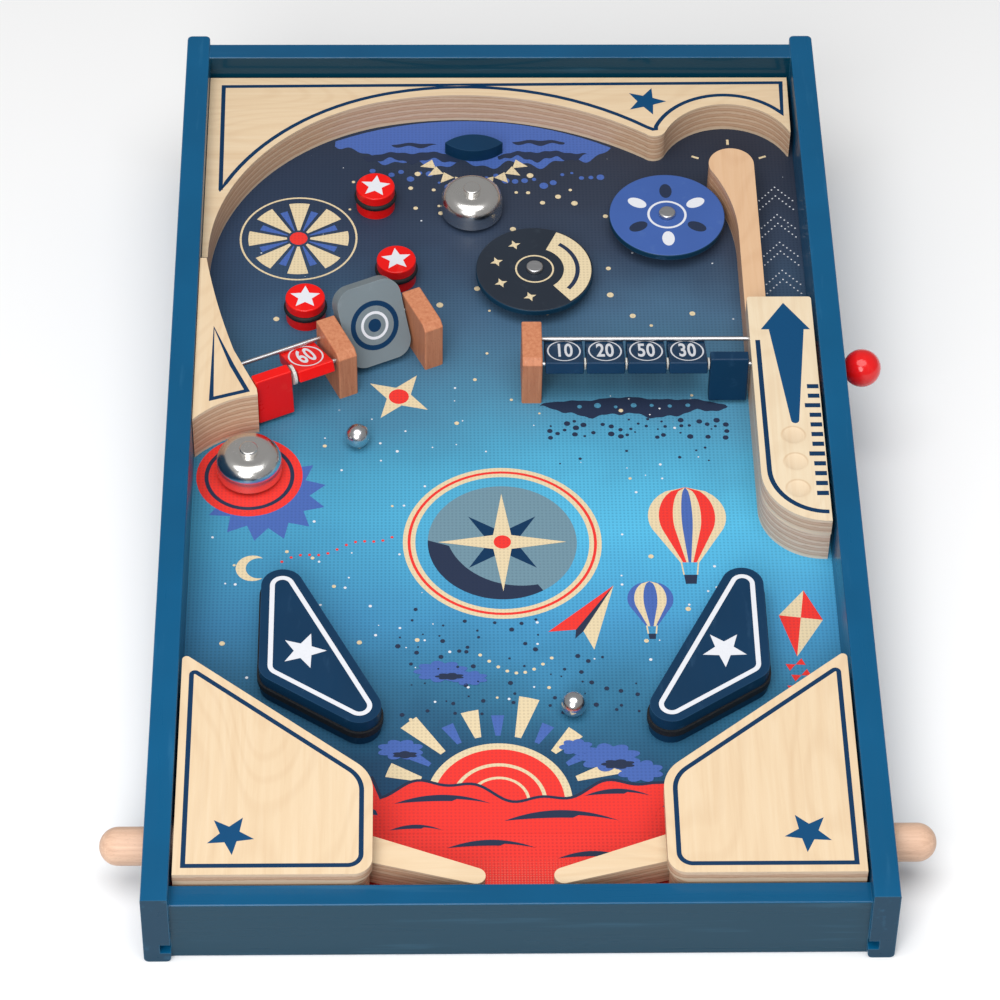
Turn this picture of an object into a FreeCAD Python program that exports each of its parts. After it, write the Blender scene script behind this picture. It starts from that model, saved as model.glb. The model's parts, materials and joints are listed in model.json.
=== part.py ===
"""Tabletop wooden bagatelle game: wedge case, playfield, flippers, launcher and targets.

Row frame: X across, +Y towards the back, +Z up, origin under the middle of the case on the table.
Playfield pieces are drawn flat in field coordinates (u across, v towards the back along the slope,
w above the playfield surface) and then tilted into the case by on_field().
A place on the field is a pair of insets, which spot() turns into field (u, v): the first is measured from
the left rail's inner face and the second from the case's back end, and a negative inset is measured from
the right rail or from the front end instead.
"""
import FreeCAD, Part
import math
import os

V = FreeCAD.Vector

# ---------------------------------------------------------------- case
CASE_WIDTH = 333.0
CASE_LENGTH = 560.0
FRONT_HEIGHT = 41.0
BACK_HEIGHT = 95.0
RAIL_THICKNESS = 12.0
RAIL_ROUND = 2.5
EDGE_ROUND = 0.8
FRONT_RAIL_HEIGHT = 34.0
FRONT_RAIL_INSET = 3.0
BACK_RAIL_HEIGHT = 93.0
BACK_RAIL_INSET = 5.0
RIM_ABOVE_FIELD = 30.0
PANEL_THICKNESS = 5.0
GROOVE_DEPTH = 4.5
PANEL_FIT = 0.2
SEAT_GAP = 0.3
RUNNING_FIT = 0.05
DRILL_DEPTH = 4.0

# ---------------------------------------------------------------- plywood pieces
ARCH_THICKNESS = 18.0
ARCH_LEFT_FOOT = (3.3, 153.5)
ARCH_LEFT_BEND = (39.0, 67.2)
ARCH_JOINT = (89.5, 38.0)
ARCH_CROWN_LEFT_OF_MIDDLE = 19.6
ARCH_CROWN_INSET = 32.5
ARCH_NOSE = (-78.9, 62.4)
ARCH_NOSE_BEND = (-73.6, 64.4)
SMALL_ARCH_START = (-68.0, 60.0)
SMALL_ARCH_CROWN = (-35.5, 39.7)
SMALL_ARCH_END = (-3.0, 61.0)
ARCH_RIGHT_FOOT_WIDTH = 0.6
GUIDE_ABOVE_ROD = 3.7
GUIDE_CORNER_FROM_BAR = 28.7
GUIDE_FRONT_BEND_INSET = 11.7
GUIDE_FRONT_BEND_FROM_BAR = 19.1
GUIDE_SIDE_BEND = (10.6, 198.0)
GUIDE_PEAK = (3.5, 163.5)
GUIDE_FOOT_STEP = (0.6, 4.2)
COVER_THICKNESS = 6.0
SPACER_INSET = 1.5
LANE_WIDTH = 23.2
DIVIDER_WIDTH = 10.8
DIVIDER_HEAD_RADIUS = 11.8
DIVIDER_HEAD_INSET = 85.5
DIVIDER_NECK_ANGLE = 35.3
DIVIDER_BEND = (4.6, 21.6)
DIVIDER_WAIST = 52.5
LANE_BLOCK_WALL = 17.4
LANE_BLOCK_FLAT = 1.2
LAUNCHER_COVER_THICKNESS = 10.0
LAUNCHER_COVER_BACK_INSET = 192.2
LAUNCHER_COVER_SIDE_GAP = 1.8
LAUNCHER_COVER_ROUND = 1.5
DIMPLE_RADIUS = 5.4
DIMPLE_DEPTH = 2.4
DIMPLE_INSET = 16.8
DIMPLE_FROM_COVER_END = 94.1
DIMPLE_PITCH = 17.3
DIMPLE_COUNT = 3

# ---------------------------------------------------------------- corner covers
CORNER_WIDTH = 88.0
CORNER_SIDE_GAP = 1.3
CORNER_TOP_INSET = 139.5
CORNER_SLANT_DROP = 70.1
CORNER_SLANT_ROUND = 19.0
CORNER_FRONT_ROUND = 8.5
CORNER_TIP_ROUND = 2.0

# ---------------------------------------------------------------- flippers and push dowels
FLIPPER_THICKNESS = 15.0
FLIPPER_LIFT = 3.0
FLIPPER_PIVOT_PLACE = (59.5, -54.5)
FLIPPER_BOSS_RADIUS = 7.0
FLIPPER_TAIL_RADIUS = 4.0
FLIPPER_TAIL_ARM = 12.5
FLIPPER_SWING = 38.0
FLIPPER_ROOT_OUT = 5.0
FLIPPER_ROOT_DROP = 12.3
FLIPPER_ROOT_RADIUS = 8.4
FLIPPER_TIP_FRONT_GAP = 1.622
FLIPPER_TIP_RADIUS = 4.3
DRAIN_GAP = 30.4
PIVOT_PIN_RADIUS = 2.5
PIVOT_WASHER_RADIUS = 6.0
POCKET_LEFT = 10.5
POCKET_BACK = 11.5
POCKET_FRONT = 30.0
POCKET_ROUND = 3.0
DOWEL_RADIUS = 8.75
DOWEL_REACH = 21.0
DOWEL_FLANGE_STEP = 1.45
DOWEL_FLANGE_WIDTH = 3.0
DOWEL_FLANGE_GAP = 0.4
DOWEL_FLANGE_CLEARANCE = 0.8
DOWEL_NOSE_RADIUS = 4.0
DOWEL_END_GAP = 0.1
CHAMBER_SIDE_GAP = 1.3
CHAMBER_LENGTH = 26.0
DOWEL_SPRING_RADIUS = 6.0
SPRING_WIRE_RADIUS = 0.7
DOWEL_SPRING_TURNS = 6

# ---------------------------------------------------------------- launcher
LAUNCHER_REST_FROM_COVER_END = 34.8
LAUNCHER_TRAVEL = 80.0
LAUNCHER_PIN_W = 12.5
LAUNCHER_PIN_RADIUS = 2.5
LAUNCHER_PIN_SEAT = 8.0
SLIDER_LENGTH = 30.0
SLIDER_TOP_GAP = 1.7
SLIDER_SIDE_GAP = 0.5
SLOT_GAP = 0.3
KNOB_RADIUS = 9.5
KNOB_GAP = 1.0
CHANNEL_END_GAP = 2.0
ELASTIC_PEG_RADIUS = 2.0
ELASTIC_PEG_SEAT = 4.0
ELASTIC_CORD_RADIUS = 0.8
ELASTIC_ANCHOR_FROM_COVER_END = 5.8
ELASTIC_HOOK_BEHIND_PIN = 11.0
ELASTIC_W = 8.5
ELASTIC_GROOVE_DEPTH = 4.3
ELASTIC_GROOVE_GAP = 0.4

# ---------------------------------------------------------------- bumpers, slings, bells, spinners
BUMPER_RADIUS = 10.0
BUMPER_HEIGHT = 14.5
BUMPER_PLACES = {"bumper_back": (88.3, 98.0), "bumper_middle": (99.2, 151.5), "bumper_front": (53.2, 178.5)}
BAND_GROOVE_BOTTOM = 5.5
BAND_GROOVE_HEIGHT = 4.0
BAND_GROOVE_DEPTH = 2.4
RING_CORD_RADIUS = 1.7
BAND_PROUD = 1.0
SLING_HEIGHT = 16.0
SLING_ROUND = 10.0
SLING_CENTRES = ((45.8, -189.7), (82.7, -117.4), (45.8, -141.5))
BELL_RADIUS = 15.9
BELL_WALL = 1.0
BELL_MOUTH_W = 2.5
BELL_HEIGHT = 13.5
BELL_SHOULDER = 7.0
BELL_POST_RADIUS = 3.0
BELL_NUT_RADIUS = 4.5
BELL_NUT_HEIGHT = 2.5
BELL_PLACES = {"bell_back": (138.4, 103.1), "bell_front": (27.6, 284.6)}
SCREW_RADIUS = 2.0
DISC_RADIUS = 30.0
DISC_THICKNESS = 3.2
DISC_LIFT = 7.8
DISC_END_PLAY = 0.3
DISC_BUSH_RADIUS = 7.0
DISC_RIVET_RADIUS = 4.25
DISC_RIVET_HEIGHT = 2.0
RIGHT_DISC_DIVIDER_GAP = 5.7
RIGHT_DISC_FROM_HEAD = 30.5
CENTRE_DISC_RIGHT_OF_MIDDLE = 15.3
CENTRE_DISC_INSET = 155.4
LENS_LENGTH = 30.4
LENS_WIDTH = 12.8
LENS_HEIGHT = 7.5
LENS_PLACE = (140.0, 58.0)

# ---------------------------------------------------------------- score bars and swing target
POST_WIDTH = 10.0
POST_ABOVE_ROD = 6.2
POST_CHAMFER = 3.0
ROD_RADIUS = 1.1
ROD_INSET = 4.5
ROD_BACK_INSET = 3.8
ROD_SPACING = 19.7
ROD_DROP = 2.8
ROD_SEAT = 6.5
TILE_WIDTH = 19.0
TILE_LENGTH = 27.3
TILE_THICKNESS = 6.4
TILE_HOLE_FROM_END = 5.4
TILE_STOP_GAP = 0.3
TILE_FLOOR_GAP = 1.9
RIGHT_TILE_GAP = 1.4
RIGHT_BAR_FROM_COVER_END = 42.1
RIGHT_BAR_TILES = ("score_tile_10", "score_tile_20", "score_tile_50", "score_tile_30", "score_tile_end")
RIGHT_WASHER_RADIUS = 3.0
RIGHT_WASHER_THICKNESS = 0.8
LEFT_BAR_ANGLE = 24.8
LEFT_BAR_PLACE = (38.3, 245.8)
LEFT_BAR_TILES = ("score_tile_red", "score_tile_60")
LEFT_BAR_START = 9.9
LEFT_BAR_FACE_FRONT = 4.1
LEFT_TILE_END_GAP = 0.4
LEFT_TILE_GAP = 3.0
LEFT_POST_GAP = 2.6
LEFT_WASHER_RADIUS = 5.0
LEFT_WASHER_THICKNESS = 1.5
TARGET_SIDE_GAP = 1.45
TARGET_WIDTH = 34.0
TARGET_THICKNESS = 8.0
TARGET_PAST_FLOOR = 0.5
TARGET_BACKWARD = 20.5
TARGET_ROUND = 9.0
TARGET_FLOOR_GAP = 0.3
BALL_RADIUS = 6.0
BALL_PLACES = {"ball_upper": (80.3, 266.1), "ball_lower": (-127.3, -125.4)}

# ---------------------------------------------------------------- worked-out frame
INNER = CASE_WIDTH / 2 - RAIL_THICKNESS
SLOPE = math.atan2(BACK_HEIGHT - FRONT_HEIGHT, CASE_LENGTH)
MID_HEIGHT = (FRONT_HEIGHT + BACK_HEIGHT) / 2
FRONT_INNER_Y = FRONT_RAIL_INSET + RAIL_THICKNESS - CASE_LENGTH / 2
BACK_INNER_Y = CASE_LENGTH / 2 - BACK_RAIL_INSET - RAIL_THICKNESS
FIELD_PLACE = FreeCAD.Placement(
    V(0, RIM_ABOVE_FIELD * math.sin(SLOPE), MID_HEIGHT - RIM_ABOVE_FIELD * math.cos(SLOPE)),
    FreeCAD.Rotation(V(1, 0, 0), math.degrees(SLOPE)))
FAR = 2 * CASE_LENGTH


def wall_v(wall_y, w):
    """Field v of an upright wall at row-frame wall_y, at height w above the playfield."""
    return (wall_y + (w - RIM_ABOVE_FIELD) * math.sin(SLOPE)) / math.cos(SLOPE)


def spot(side_inset, end_inset):
    """Field (u, v) from insets; a negative one counts from the right rail or the front end."""
    u = side_inset - math.copysign(INNER, side_inset)
    v = math.copysign(CASE_LENGTH / 2, end_inset) - end_inset
    return u, v


DOWEL_FLANGE_RADIUS = DOWEL_RADIUS + DOWEL_FLANGE_STEP
DOWEL_W = DOWEL_FLANGE_RADIUS + DOWEL_FLANGE_CLEARANCE
CHAMBER_HALF_WIDTH = DOWEL_FLANGE_RADIUS + CHAMBER_SIDE_GAP
SPACER_THICKNESS = 2 * DOWEL_W
COVER_TOP_W = SPACER_THICKNESS + COVER_THICKNESS
FRONT_V = wall_v(FRONT_INNER_Y, COVER_TOP_W) + SEAT_GAP
BACK_V = wall_v(BACK_INNER_Y, 0) - SEAT_GAP
CORNER_TOP_V = CORNER_TOP_INSET - CASE_LENGTH / 2
FLIPPER_PIVOT_U, FLIPPER_PIVOT_V = spot(*FLIPPER_PIVOT_PLACE)
DOWEL_V = FLIPPER_PIVOT_V - FLIPPER_TAIL_ARM
TAIL_REACH = FLIPPER_TAIL_ARM * math.sin(math.radians(FLIPPER_SWING / 2))
LANE_LEFT_U = INNER - LANE_WIDTH
DIVIDER_LEFT_U = LANE_LEFT_U - DIVIDER_WIDTH
DIVIDER_HEAD_V = CASE_LENGTH / 2 - DIVIDER_HEAD_INSET
COVER_RIGHT_U = INNER - LAUNCHER_COVER_SIDE_GAP
COVER_LEFT_U = DIVIDER_LEFT_U
LAUNCHER_COVER_BACK_V = CASE_LENGTH / 2 - LAUNCHER_COVER_BACK_INSET
LAUNCHER_REST_V = LAUNCHER_COVER_BACK_V - LAUNCHER_REST_FROM_COVER_END
CHANNEL_END_V = LAUNCHER_REST_V - LAUNCHER_TRAVEL - SLIDER_LENGTH / 2 - CHANNEL_END_GAP
LANE_BLOCK_END_V = CHANNEL_END_V - LANE_BLOCK_WALL
SLIDER_HEIGHT = ARCH_THICKNESS - SEAT_GAP - SLIDER_TOP_GAP
ELASTIC_ANCHOR_V = LAUNCHER_COVER_BACK_V - ELASTIC_ANCHOR_FROM_COVER_END
ELASTIC_HOOK_V = LAUNCHER_REST_V - ELASTIC_HOOK_BEHIND_PIN
ELASTIC_GROOVE_HEIGHT = 2 * (ELASTIC_PEG_RADIUS + 2 * ELASTIC_CORD_RADIUS + ELASTIC_GROOVE_GAP)
PIVOT_W = TILE_LENGTH - TILE_HOLE_FROM_END + TILE_FLOOR_GAP
STOP_W = PIVOT_W - ROD_DROP
TARGET_FORWARD = STOP_W + TARGET_PAST_FLOOR
RIGHT_DISC_U = DIVIDER_LEFT_U - RIGHT_DISC_DIVIDER_GAP - DISC_RADIUS
DISC_PLACES = {"spinner_disc_right": (RIGHT_DISC_U, DIVIDER_HEAD_V - RIGHT_DISC_FROM_HEAD),
               "spinner_disc_centre": (CENTRE_DISC_RIGHT_OF_MIDDLE, CASE_LENGTH / 2 - CENTRE_DISC_INSET)}
POST_DEPTH = ROD_INSET + ROD_SPACING + ROD_BACK_INSET
POST_HEIGHT = PIVOT_W + POST_ABOVE_ROD
GUIDE_THICKNESS = PIVOT_W + GUIDE_ABOVE_ROD
RIGHT_BAR_PIVOT_V = LAUNCHER_COVER_BACK_V - RIGHT_BAR_FROM_COVER_END
RIGHT_BAR_POST_U = (COVER_LEFT_U - len(RIGHT_BAR_TILES) * (TILE_WIDTH + RIGHT_TILE_GAP) - RIGHT_TILE_GAP
                    - POST_WIDTH)
LEFT_TILE_STARTS = (LEFT_TILE_END_GAP - LEFT_BAR_START,
                    LEFT_TILE_END_GAP - LEFT_BAR_START + TILE_WIDTH + LEFT_TILE_GAP)
LEFT_POST_OUTER = LEFT_TILE_STARTS[-1] + TILE_WIDTH + LEFT_POST_GAP
LEFT_POST_INNER = LEFT_POST_OUTER + POST_WIDTH + TARGET_WIDTH + 2 * TARGET_SIDE_GAP


# ---------------------------------------------------------------- drawing helpers
def on_field(shape):
    """Tilt a shape drawn in field coordinates into the case."""
    placed = shape.copy()
    placed.Placement = FIELD_PLACE.multiply(placed.Placement)
    return placed


def arc(start, middle, end):
    return Part.Arc(start, middle, end).toShape()


def line(start, end):
    return Part.LineSegment(start, end).toShape()


def bow(start, middle, end):
    """Arc through three field points."""
    return arc(V(*start, 0), V(*middle, 0), V(*end, 0))


def chain(points):
    """Straight edges through field points."""
    return [line(V(*a, 0), V(*b, 0)) for a, b in zip(points, points[1:])]


def rounded_outline(corners):
    """Closed wire through (u, v, radius) corners; radius 0 leaves the corner sharp."""
    turns = []
    for index, (u, v, radius) in enumerate(corners):
        here = V(u, v, 0)
        before = V(*corners[index - 1][:2], 0) - here
        after = V(*corners[(index + 1) % len(corners)][:2], 0) - here
        before.normalize()
        after.normalize()
        half = before.getAngle(after) / 2
        reach = radius / math.tan(half)
        bisector = before + after
        bisector.normalize()
        middle = here + bisector * (radius / math.sin(half) - radius)
        turns.append((here + before * reach, middle, here + after * reach, radius))
    edges = []
    for index, (start, middle, end, radius) in enumerate(turns):
        if radius > 0:
            edges.append(arc(start, middle, end))
        edges.append(line(end, turns[(index + 1) % len(turns)][0]))
    return Part.Wire(edges)


def prism(wire, bottom, top):
    base = wire.copy()
    base.translate(V(0, 0, bottom))
    return Part.Face(base).extrude(V(0, 0, top - bottom))


def slab(low, high):
    return Part.makeBox(high[0] - low[0], high[1] - low[1], high[2] - low[2], V(*low))


def upright(u, v, radius, bottom, top):
    return Part.makeCylinder(radius, top - bottom, V(u, v, bottom))


def across(u_start, u_end, v, w, radius):
    """Cylinder along X in field coordinates."""
    return Part.makeCylinder(radius, u_end - u_start, V(u_start, v, w), V(1, 0, 0))


def capsule(first, second):
    """Wire round two circles (u, v, radius) and their outer tangents."""
    a, b = V(*first[:2], 0), V(*second[:2], 0)
    heading = math.atan2(b.y - a.y, b.x - a.x)
    spread = math.acos((first[2] - second[2]) / a.distanceToPoint(b))

    def rim(centre, radius, angle):
        return centre + V(math.cos(angle), math.sin(angle), 0) * radius

    left_a, left_b = rim(a, first[2], heading + spread), rim(b, second[2], heading + spread)
    right_a, right_b = rim(a, first[2], heading - spread), rim(b, second[2], heading - spread)
    return Part.Wire([arc(left_a, rim(a, first[2], heading + math.pi), right_a), line(right_a, right_b),
                      arc(right_b, rim(b, second[2], heading), left_b), line(left_b, left_a)])


def mirrored(shape):
    """The same piece on the other side of the case, as a solid of its own."""
    return shape.mirror(V(0, 0, 0), V(1, 0, 0))


def fused(first, *others):
    return first.fuse(list(others)).removeSplitter()


def round_edges(shape, radius, wanted):
    """Fillet the straight edges whose middle and direction satisfy wanted(middle, direction)."""
    chosen = []
    for edge in shape.Edges:
        if edge.Curve.TypeId != "Part::GeomLine":
            continue
        direction = edge.Vertexes[-1].Point - edge.Vertexes[0].Point
        direction.normalize()
        if wanted(edge.CenterOfMass, direction):
            chosen.append(edge)
    return shape.makeFillet(radius, chosen)


# ---------------------------------------------------------------- case
def panel_pocket(reach_u, front_y, back_y):
    """Space that the panel needs in the rails, in the row frame."""
    low = (-reach_u, wall_v(front_y, 0), -PANEL_THICKNESS - PANEL_FIT)
    high = (reach_u, wall_v(back_y, 0), PANEL_FIT)
    return on_field(slab(low, high))


def side_rail(side):
    start = -CASE_WIDTH / 2 if side < 0 else INNER
    half = CASE_LENGTH / 2
    corners = [V(start, -half, 0), V(start, half, 0), V(start, half, BACK_HEIGHT),
               V(start, -half, FRONT_HEIGHT)]
    plank = Part.Face(Part.makePolygon(corners + corners[:1])).extrude(V(RAIL_THICKNESS, 0, 0))
    plank = round_edges(plank, RAIL_ROUND, lambda middle, direction:
                        middle.z < RAIL_ROUND and abs(direction.y) > 0.9
                        or middle.y > half - RAIL_ROUND and abs(direction.z) > 0.9)
    plank = round_edges(plank, EDGE_ROUND, lambda middle, direction:
                        middle.z > RAIL_ROUND and abs(direction.y) > 0.9)
    plank = plank.cut(panel_pocket(INNER + GROOVE_DEPTH + PANEL_FIT, -FAR, FAR))
    hole = across(-CASE_WIDTH, CASE_WIDTH, DOWEL_V, DOWEL_W, DOWEL_RADIUS + RUNNING_FIT)
    plank = plank.cut(on_field(hole))
    return plank


def launcher_slot():
    half_height = LAUNCHER_PIN_RADIUS + SLOT_GAP
    ends = [across(INNER, CASE_WIDTH, v, LAUNCHER_PIN_W, half_height)
            for v in (LAUNCHER_REST_V, LAUNCHER_REST_V - LAUNCHER_TRAVEL)]
    middle = slab((INNER, LAUNCHER_REST_V - LAUNCHER_TRAVEL, LAUNCHER_PIN_W - half_height),
                  (CASE_WIDTH, LAUNCHER_REST_V, LAUNCHER_PIN_W + half_height))
    return fused(middle, *ends)


def end_rail(front_y, height):
    """Front or back rail between the side rails, with the panel's groove on its field side."""
    plank = slab((-INNER, front_y, 0), (INNER, front_y + RAIL_THICKNESS, height))
    plank = round_edges(plank, EDGE_ROUND, lambda middle, direction: abs(direction.x) > 0.9)
    return plank.cut(panel_pocket(FAR, FRONT_INNER_Y - GROOVE_DEPTH - PANEL_FIT,
                                  BACK_INNER_Y + GROOVE_DEPTH + PANEL_FIT))


def playfield_panel():
    low_v = wall_v(FRONT_INNER_Y - GROOVE_DEPTH, 0)
    high_v = wall_v(BACK_INNER_Y + GROOVE_DEPTH, 0) - PANEL_THICKNESS * math.tan(SLOPE)
    panel = slab((-INNER - GROOVE_DEPTH, low_v, -PANEL_THICKNESS), (INNER + GROOVE_DEPTH, high_v, 0))
    for u, v, radius in screw_places():
        panel = panel.cut(upright(u, v, radius, -DRILL_DEPTH, 1))
    return panel


def screw_places():
    """Blind holes in the panel for flipper pins, spinner pins and bell screws."""
    places = [(side * FLIPPER_PIVOT_U, FLIPPER_PIVOT_V, PIVOT_PIN_RADIUS) for side in (-1, 1)]
    bells = [spot(*insets) for insets in BELL_PLACES.values()]
    return places + [(u, v, SCREW_RADIUS) for u, v in (*bells, *DISC_PLACES.values())]


# ---------------------------------------------------------------- plywood pieces
def top_arch():
    """Plywood frame round the back of the field, with a small arch over the head of the lane."""
    left, right = -INNER + SEAT_GAP, COVER_RIGHT_U
    foot, joint, nose = spot(*ARCH_LEFT_FOOT), spot(*ARCH_JOINT), spot(*ARCH_NOSE)
    crown = (-ARCH_CROWN_LEFT_OF_MIDDLE, CASE_LENGTH / 2 - ARCH_CROWN_INSET)
    lane, lane_end = spot(*SMALL_ARCH_START), spot(*SMALL_ARCH_END)
    edges = [bow(foot, spot(*ARCH_LEFT_BEND), joint), bow(joint, crown, nose),
             bow(nose, spot(*ARCH_NOSE_BEND), lane), bow(lane, spot(*SMALL_ARCH_CROWN), lane_end)]
    edges += chain([lane_end, (lane_end[0] + ARCH_RIGHT_FOOT_WIDTH, lane_end[1]), (right, BACK_V),
                    (left, BACK_V), (left, foot[1]), foot])
    return prism(Part.Wire(edges), 0, ARCH_THICKNESS)


def on_left_bar(shape):
    """Place a shape drawn along X from the left pivot rod's middle onto the left score bar."""
    placed = shape.copy()
    placed.rotate(V(0, 0, 0), V(0, 0, 1), LEFT_BAR_ANGLE)
    placed.translate(V(*spot(*LEFT_BAR_PLACE), 0))
    return placed


def left_bar_point(along, back):
    """Field (u, v) of a point on the left score bar."""
    cosine, sine = math.cos(math.radians(LEFT_BAR_ANGLE)), math.sin(math.radians(LEFT_BAR_ANGLE))
    u, v = spot(*LEFT_BAR_PLACE)
    return u + along * cosine - back * sine, v + along * sine + back * cosine


def left_guide():
    """Thick plywood guide on the left rail; its flat end face carries the left score bar's rods."""
    side = -INNER + SEAT_GAP
    tip = left_bar_point(-LEFT_BAR_START, -LEFT_BAR_FACE_FRONT)
    face_top = left_bar_point(-LEFT_BAR_START, ROD_SPACING + ROD_INSET)
    foot = (tip[0] + GUIDE_FOOT_STEP[0], tip[1] - GUIDE_FOOT_STEP[1])
    bar_v = spot(*LEFT_BAR_PLACE)[1]
    corner, peak = (side, bar_v - GUIDE_CORNER_FROM_BAR), spot(*GUIDE_PEAK)
    front_bend = (GUIDE_FRONT_BEND_INSET - INNER, bar_v - GUIDE_FRONT_BEND_FROM_BAR)
    edges = [bow(corner, front_bend, foot), bow(face_top, spot(*GUIDE_SIDE_BEND), peak)]
    edges += chain([foot, tip, face_top]) + chain([peak, (side, peak[1]), corner])
    body = prism(Part.Wire(Part.__sortEdges__(edges)), 0, GUIDE_THICKNESS)
    for rod in left_rods():
        body = body.cut(rod)
    return body


def block_outline(right_u, back_round):
    """Launcher block outline with its front left corner swept round and its back corners eased."""
    bend = right_u - DIVIDER_LEFT_U - LANE_BLOCK_FLAT
    return rounded_outline([(DIVIDER_LEFT_U, LAUNCHER_COVER_BACK_V, back_round),
                            (DIVIDER_LEFT_U, LANE_BLOCK_END_V, bend), (right_u, LANE_BLOCK_END_V, 0),
                            (right_u, LAUNCHER_COVER_BACK_V, back_round)])


def lane_divider():
    """Plywood lane wall with a round head; its lower end is the launcher block with the slider's channel."""
    head = (LANE_LEFT_U - DIVIDER_HEAD_RADIUS, DIVIDER_HEAD_V)
    body = prism(block_outline(COVER_RIGHT_U - SEAT_GAP, 0), 0, ARCH_THICKNESS)
    channel = slab((LANE_LEFT_U, CHANNEL_END_V, -1), (CASE_WIDTH, FAR, ARCH_THICKNESS + 1))
    turn = math.radians(DIVIDER_NECK_ANGLE)
    neck = (head[0] - DIVIDER_HEAD_RADIUS * math.cos(turn), head[1] - DIVIDER_HEAD_RADIUS * math.sin(turn))
    bend = (DIVIDER_LEFT_U - DIVIDER_BEND[0], head[1] - DIVIDER_BEND[1])
    waist, shoulder = (DIVIDER_LEFT_U, head[1] - DIVIDER_WAIST), (LANE_LEFT_U, head[1])
    edges = [bow(neck, bend, waist)]
    edges += chain([waist, (DIVIDER_LEFT_U, LAUNCHER_REST_V), (LANE_LEFT_U, LAUNCHER_REST_V), shoulder])
    edges.append(bow(shoulder, (head[0], head[1] + DIVIDER_HEAD_RADIUS), neck))
    wall = Part.Wire(edges)
    body = fused(body.cut(channel), prism(wall, 0, ARCH_THICKNESS))
    groove = slab((LANE_LEFT_U - ELASTIC_GROOVE_DEPTH, CHANNEL_END_V, ELASTIC_W - ELASTIC_GROOVE_HEIGHT / 2),
                  (LANE_LEFT_U + 1, LAUNCHER_COVER_BACK_V, ELASTIC_W + ELASTIC_GROOVE_HEIGHT / 2))
    for inset_piece in (groove, elastic_anchor(), *right_rods()):
        body = body.cut(inset_piece)
    return body


def elastic_anchor():
    """Steel peg in the lane divider that holds the back end of the elastic."""
    return across(LANE_LEFT_U - ELASTIC_GROOVE_DEPTH - ELASTIC_PEG_SEAT, LANE_LEFT_U - SLIDER_SIDE_GAP,
                  ELASTIC_ANCHOR_V, ELASTIC_W, ELASTIC_PEG_RADIUS)


def launcher_cover():
    top = ARCH_THICKNESS + LAUNCHER_COVER_THICKNESS
    body = prism(block_outline(COVER_RIGHT_U, LAUNCHER_COVER_ROUND), ARCH_THICKNESS, top)
    hollow_radius = (DIMPLE_RADIUS ** 2 + DIMPLE_DEPTH ** 2) / (2 * DIMPLE_DEPTH)
    hollow_w = top - DIMPLE_DEPTH + hollow_radius
    for index in range(DIMPLE_COUNT):
        v = LAUNCHER_COVER_BACK_V - DIMPLE_FROM_COVER_END - index * DIMPLE_PITCH
        body = body.cut(Part.makeSphere(hollow_radius, V(INNER - DIMPLE_INSET, v, hollow_w)))
    for rod in right_rods():
        body = body.cut(rod)
    return body


def corner_corners(inset):
    """Corner cover's outline on the left, drawn back by inset on its free sides."""
    side = -INNER + CORNER_SIDE_GAP
    inner_u = side + CORNER_WIDTH - inset
    fall = CORNER_SLANT_DROP / CORNER_WIDTH
    tip_v = CORNER_TOP_V - inset * math.hypot(1, fall)
    return [(side, tip_v, CORNER_TIP_ROUND), (side, FRONT_V, 0), (inner_u, FRONT_V, CORNER_FRONT_ROUND),
            (inner_u, tip_v - fall * (CORNER_WIDTH - inset), CORNER_SLANT_ROUND)]


def corner_cover():
    plate = prism(rounded_outline(corner_corners(0)), SPACER_THICKNESS, COVER_TOP_W)
    return plate.cut(upright(FLIPPER_PIVOT_U, FLIPPER_PIVOT_V, PIVOT_PIN_RADIUS,
                             SPACER_THICKNESS - 1, SPACER_THICKNESS + COVER_THICKNESS / 2))


def corner_spacer():
    """Plywood layer under the corner cover: flipper pocket, nose guide and spring chamber."""
    body = prism(rounded_outline(corner_corners(SPACER_INSET)), 0, SPACER_THICKNESS)
    pocket_left = FLIPPER_PIVOT_U - POCKET_LEFT
    pocket = rounded_outline([(pocket_left, FLIPPER_PIVOT_V + POCKET_BACK, POCKET_ROUND),
                              (pocket_left, FLIPPER_PIVOT_V - POCKET_FRONT, POCKET_ROUND),
                              (0, FLIPPER_PIVOT_V - POCKET_FRONT, 0), (0, FLIPPER_PIVOT_V + POCKET_BACK, 0)])
    body = body.cut(prism(pocket, -1, SPACER_THICKNESS + 1))
    chamber = slab((-CASE_WIDTH, DOWEL_V - CHAMBER_HALF_WIDTH, -1),
                   (chamber_end(), DOWEL_V + CHAMBER_HALF_WIDTH, SPACER_THICKNESS + 1))
    body = body.cut(chamber)
    return body.cut(across(-CASE_WIDTH, 0, DOWEL_V, DOWEL_W, DOWEL_NOSE_RADIUS + RUNNING_FIT))


def chamber_end():
    return CHAMBER_LENGTH - INNER


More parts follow.
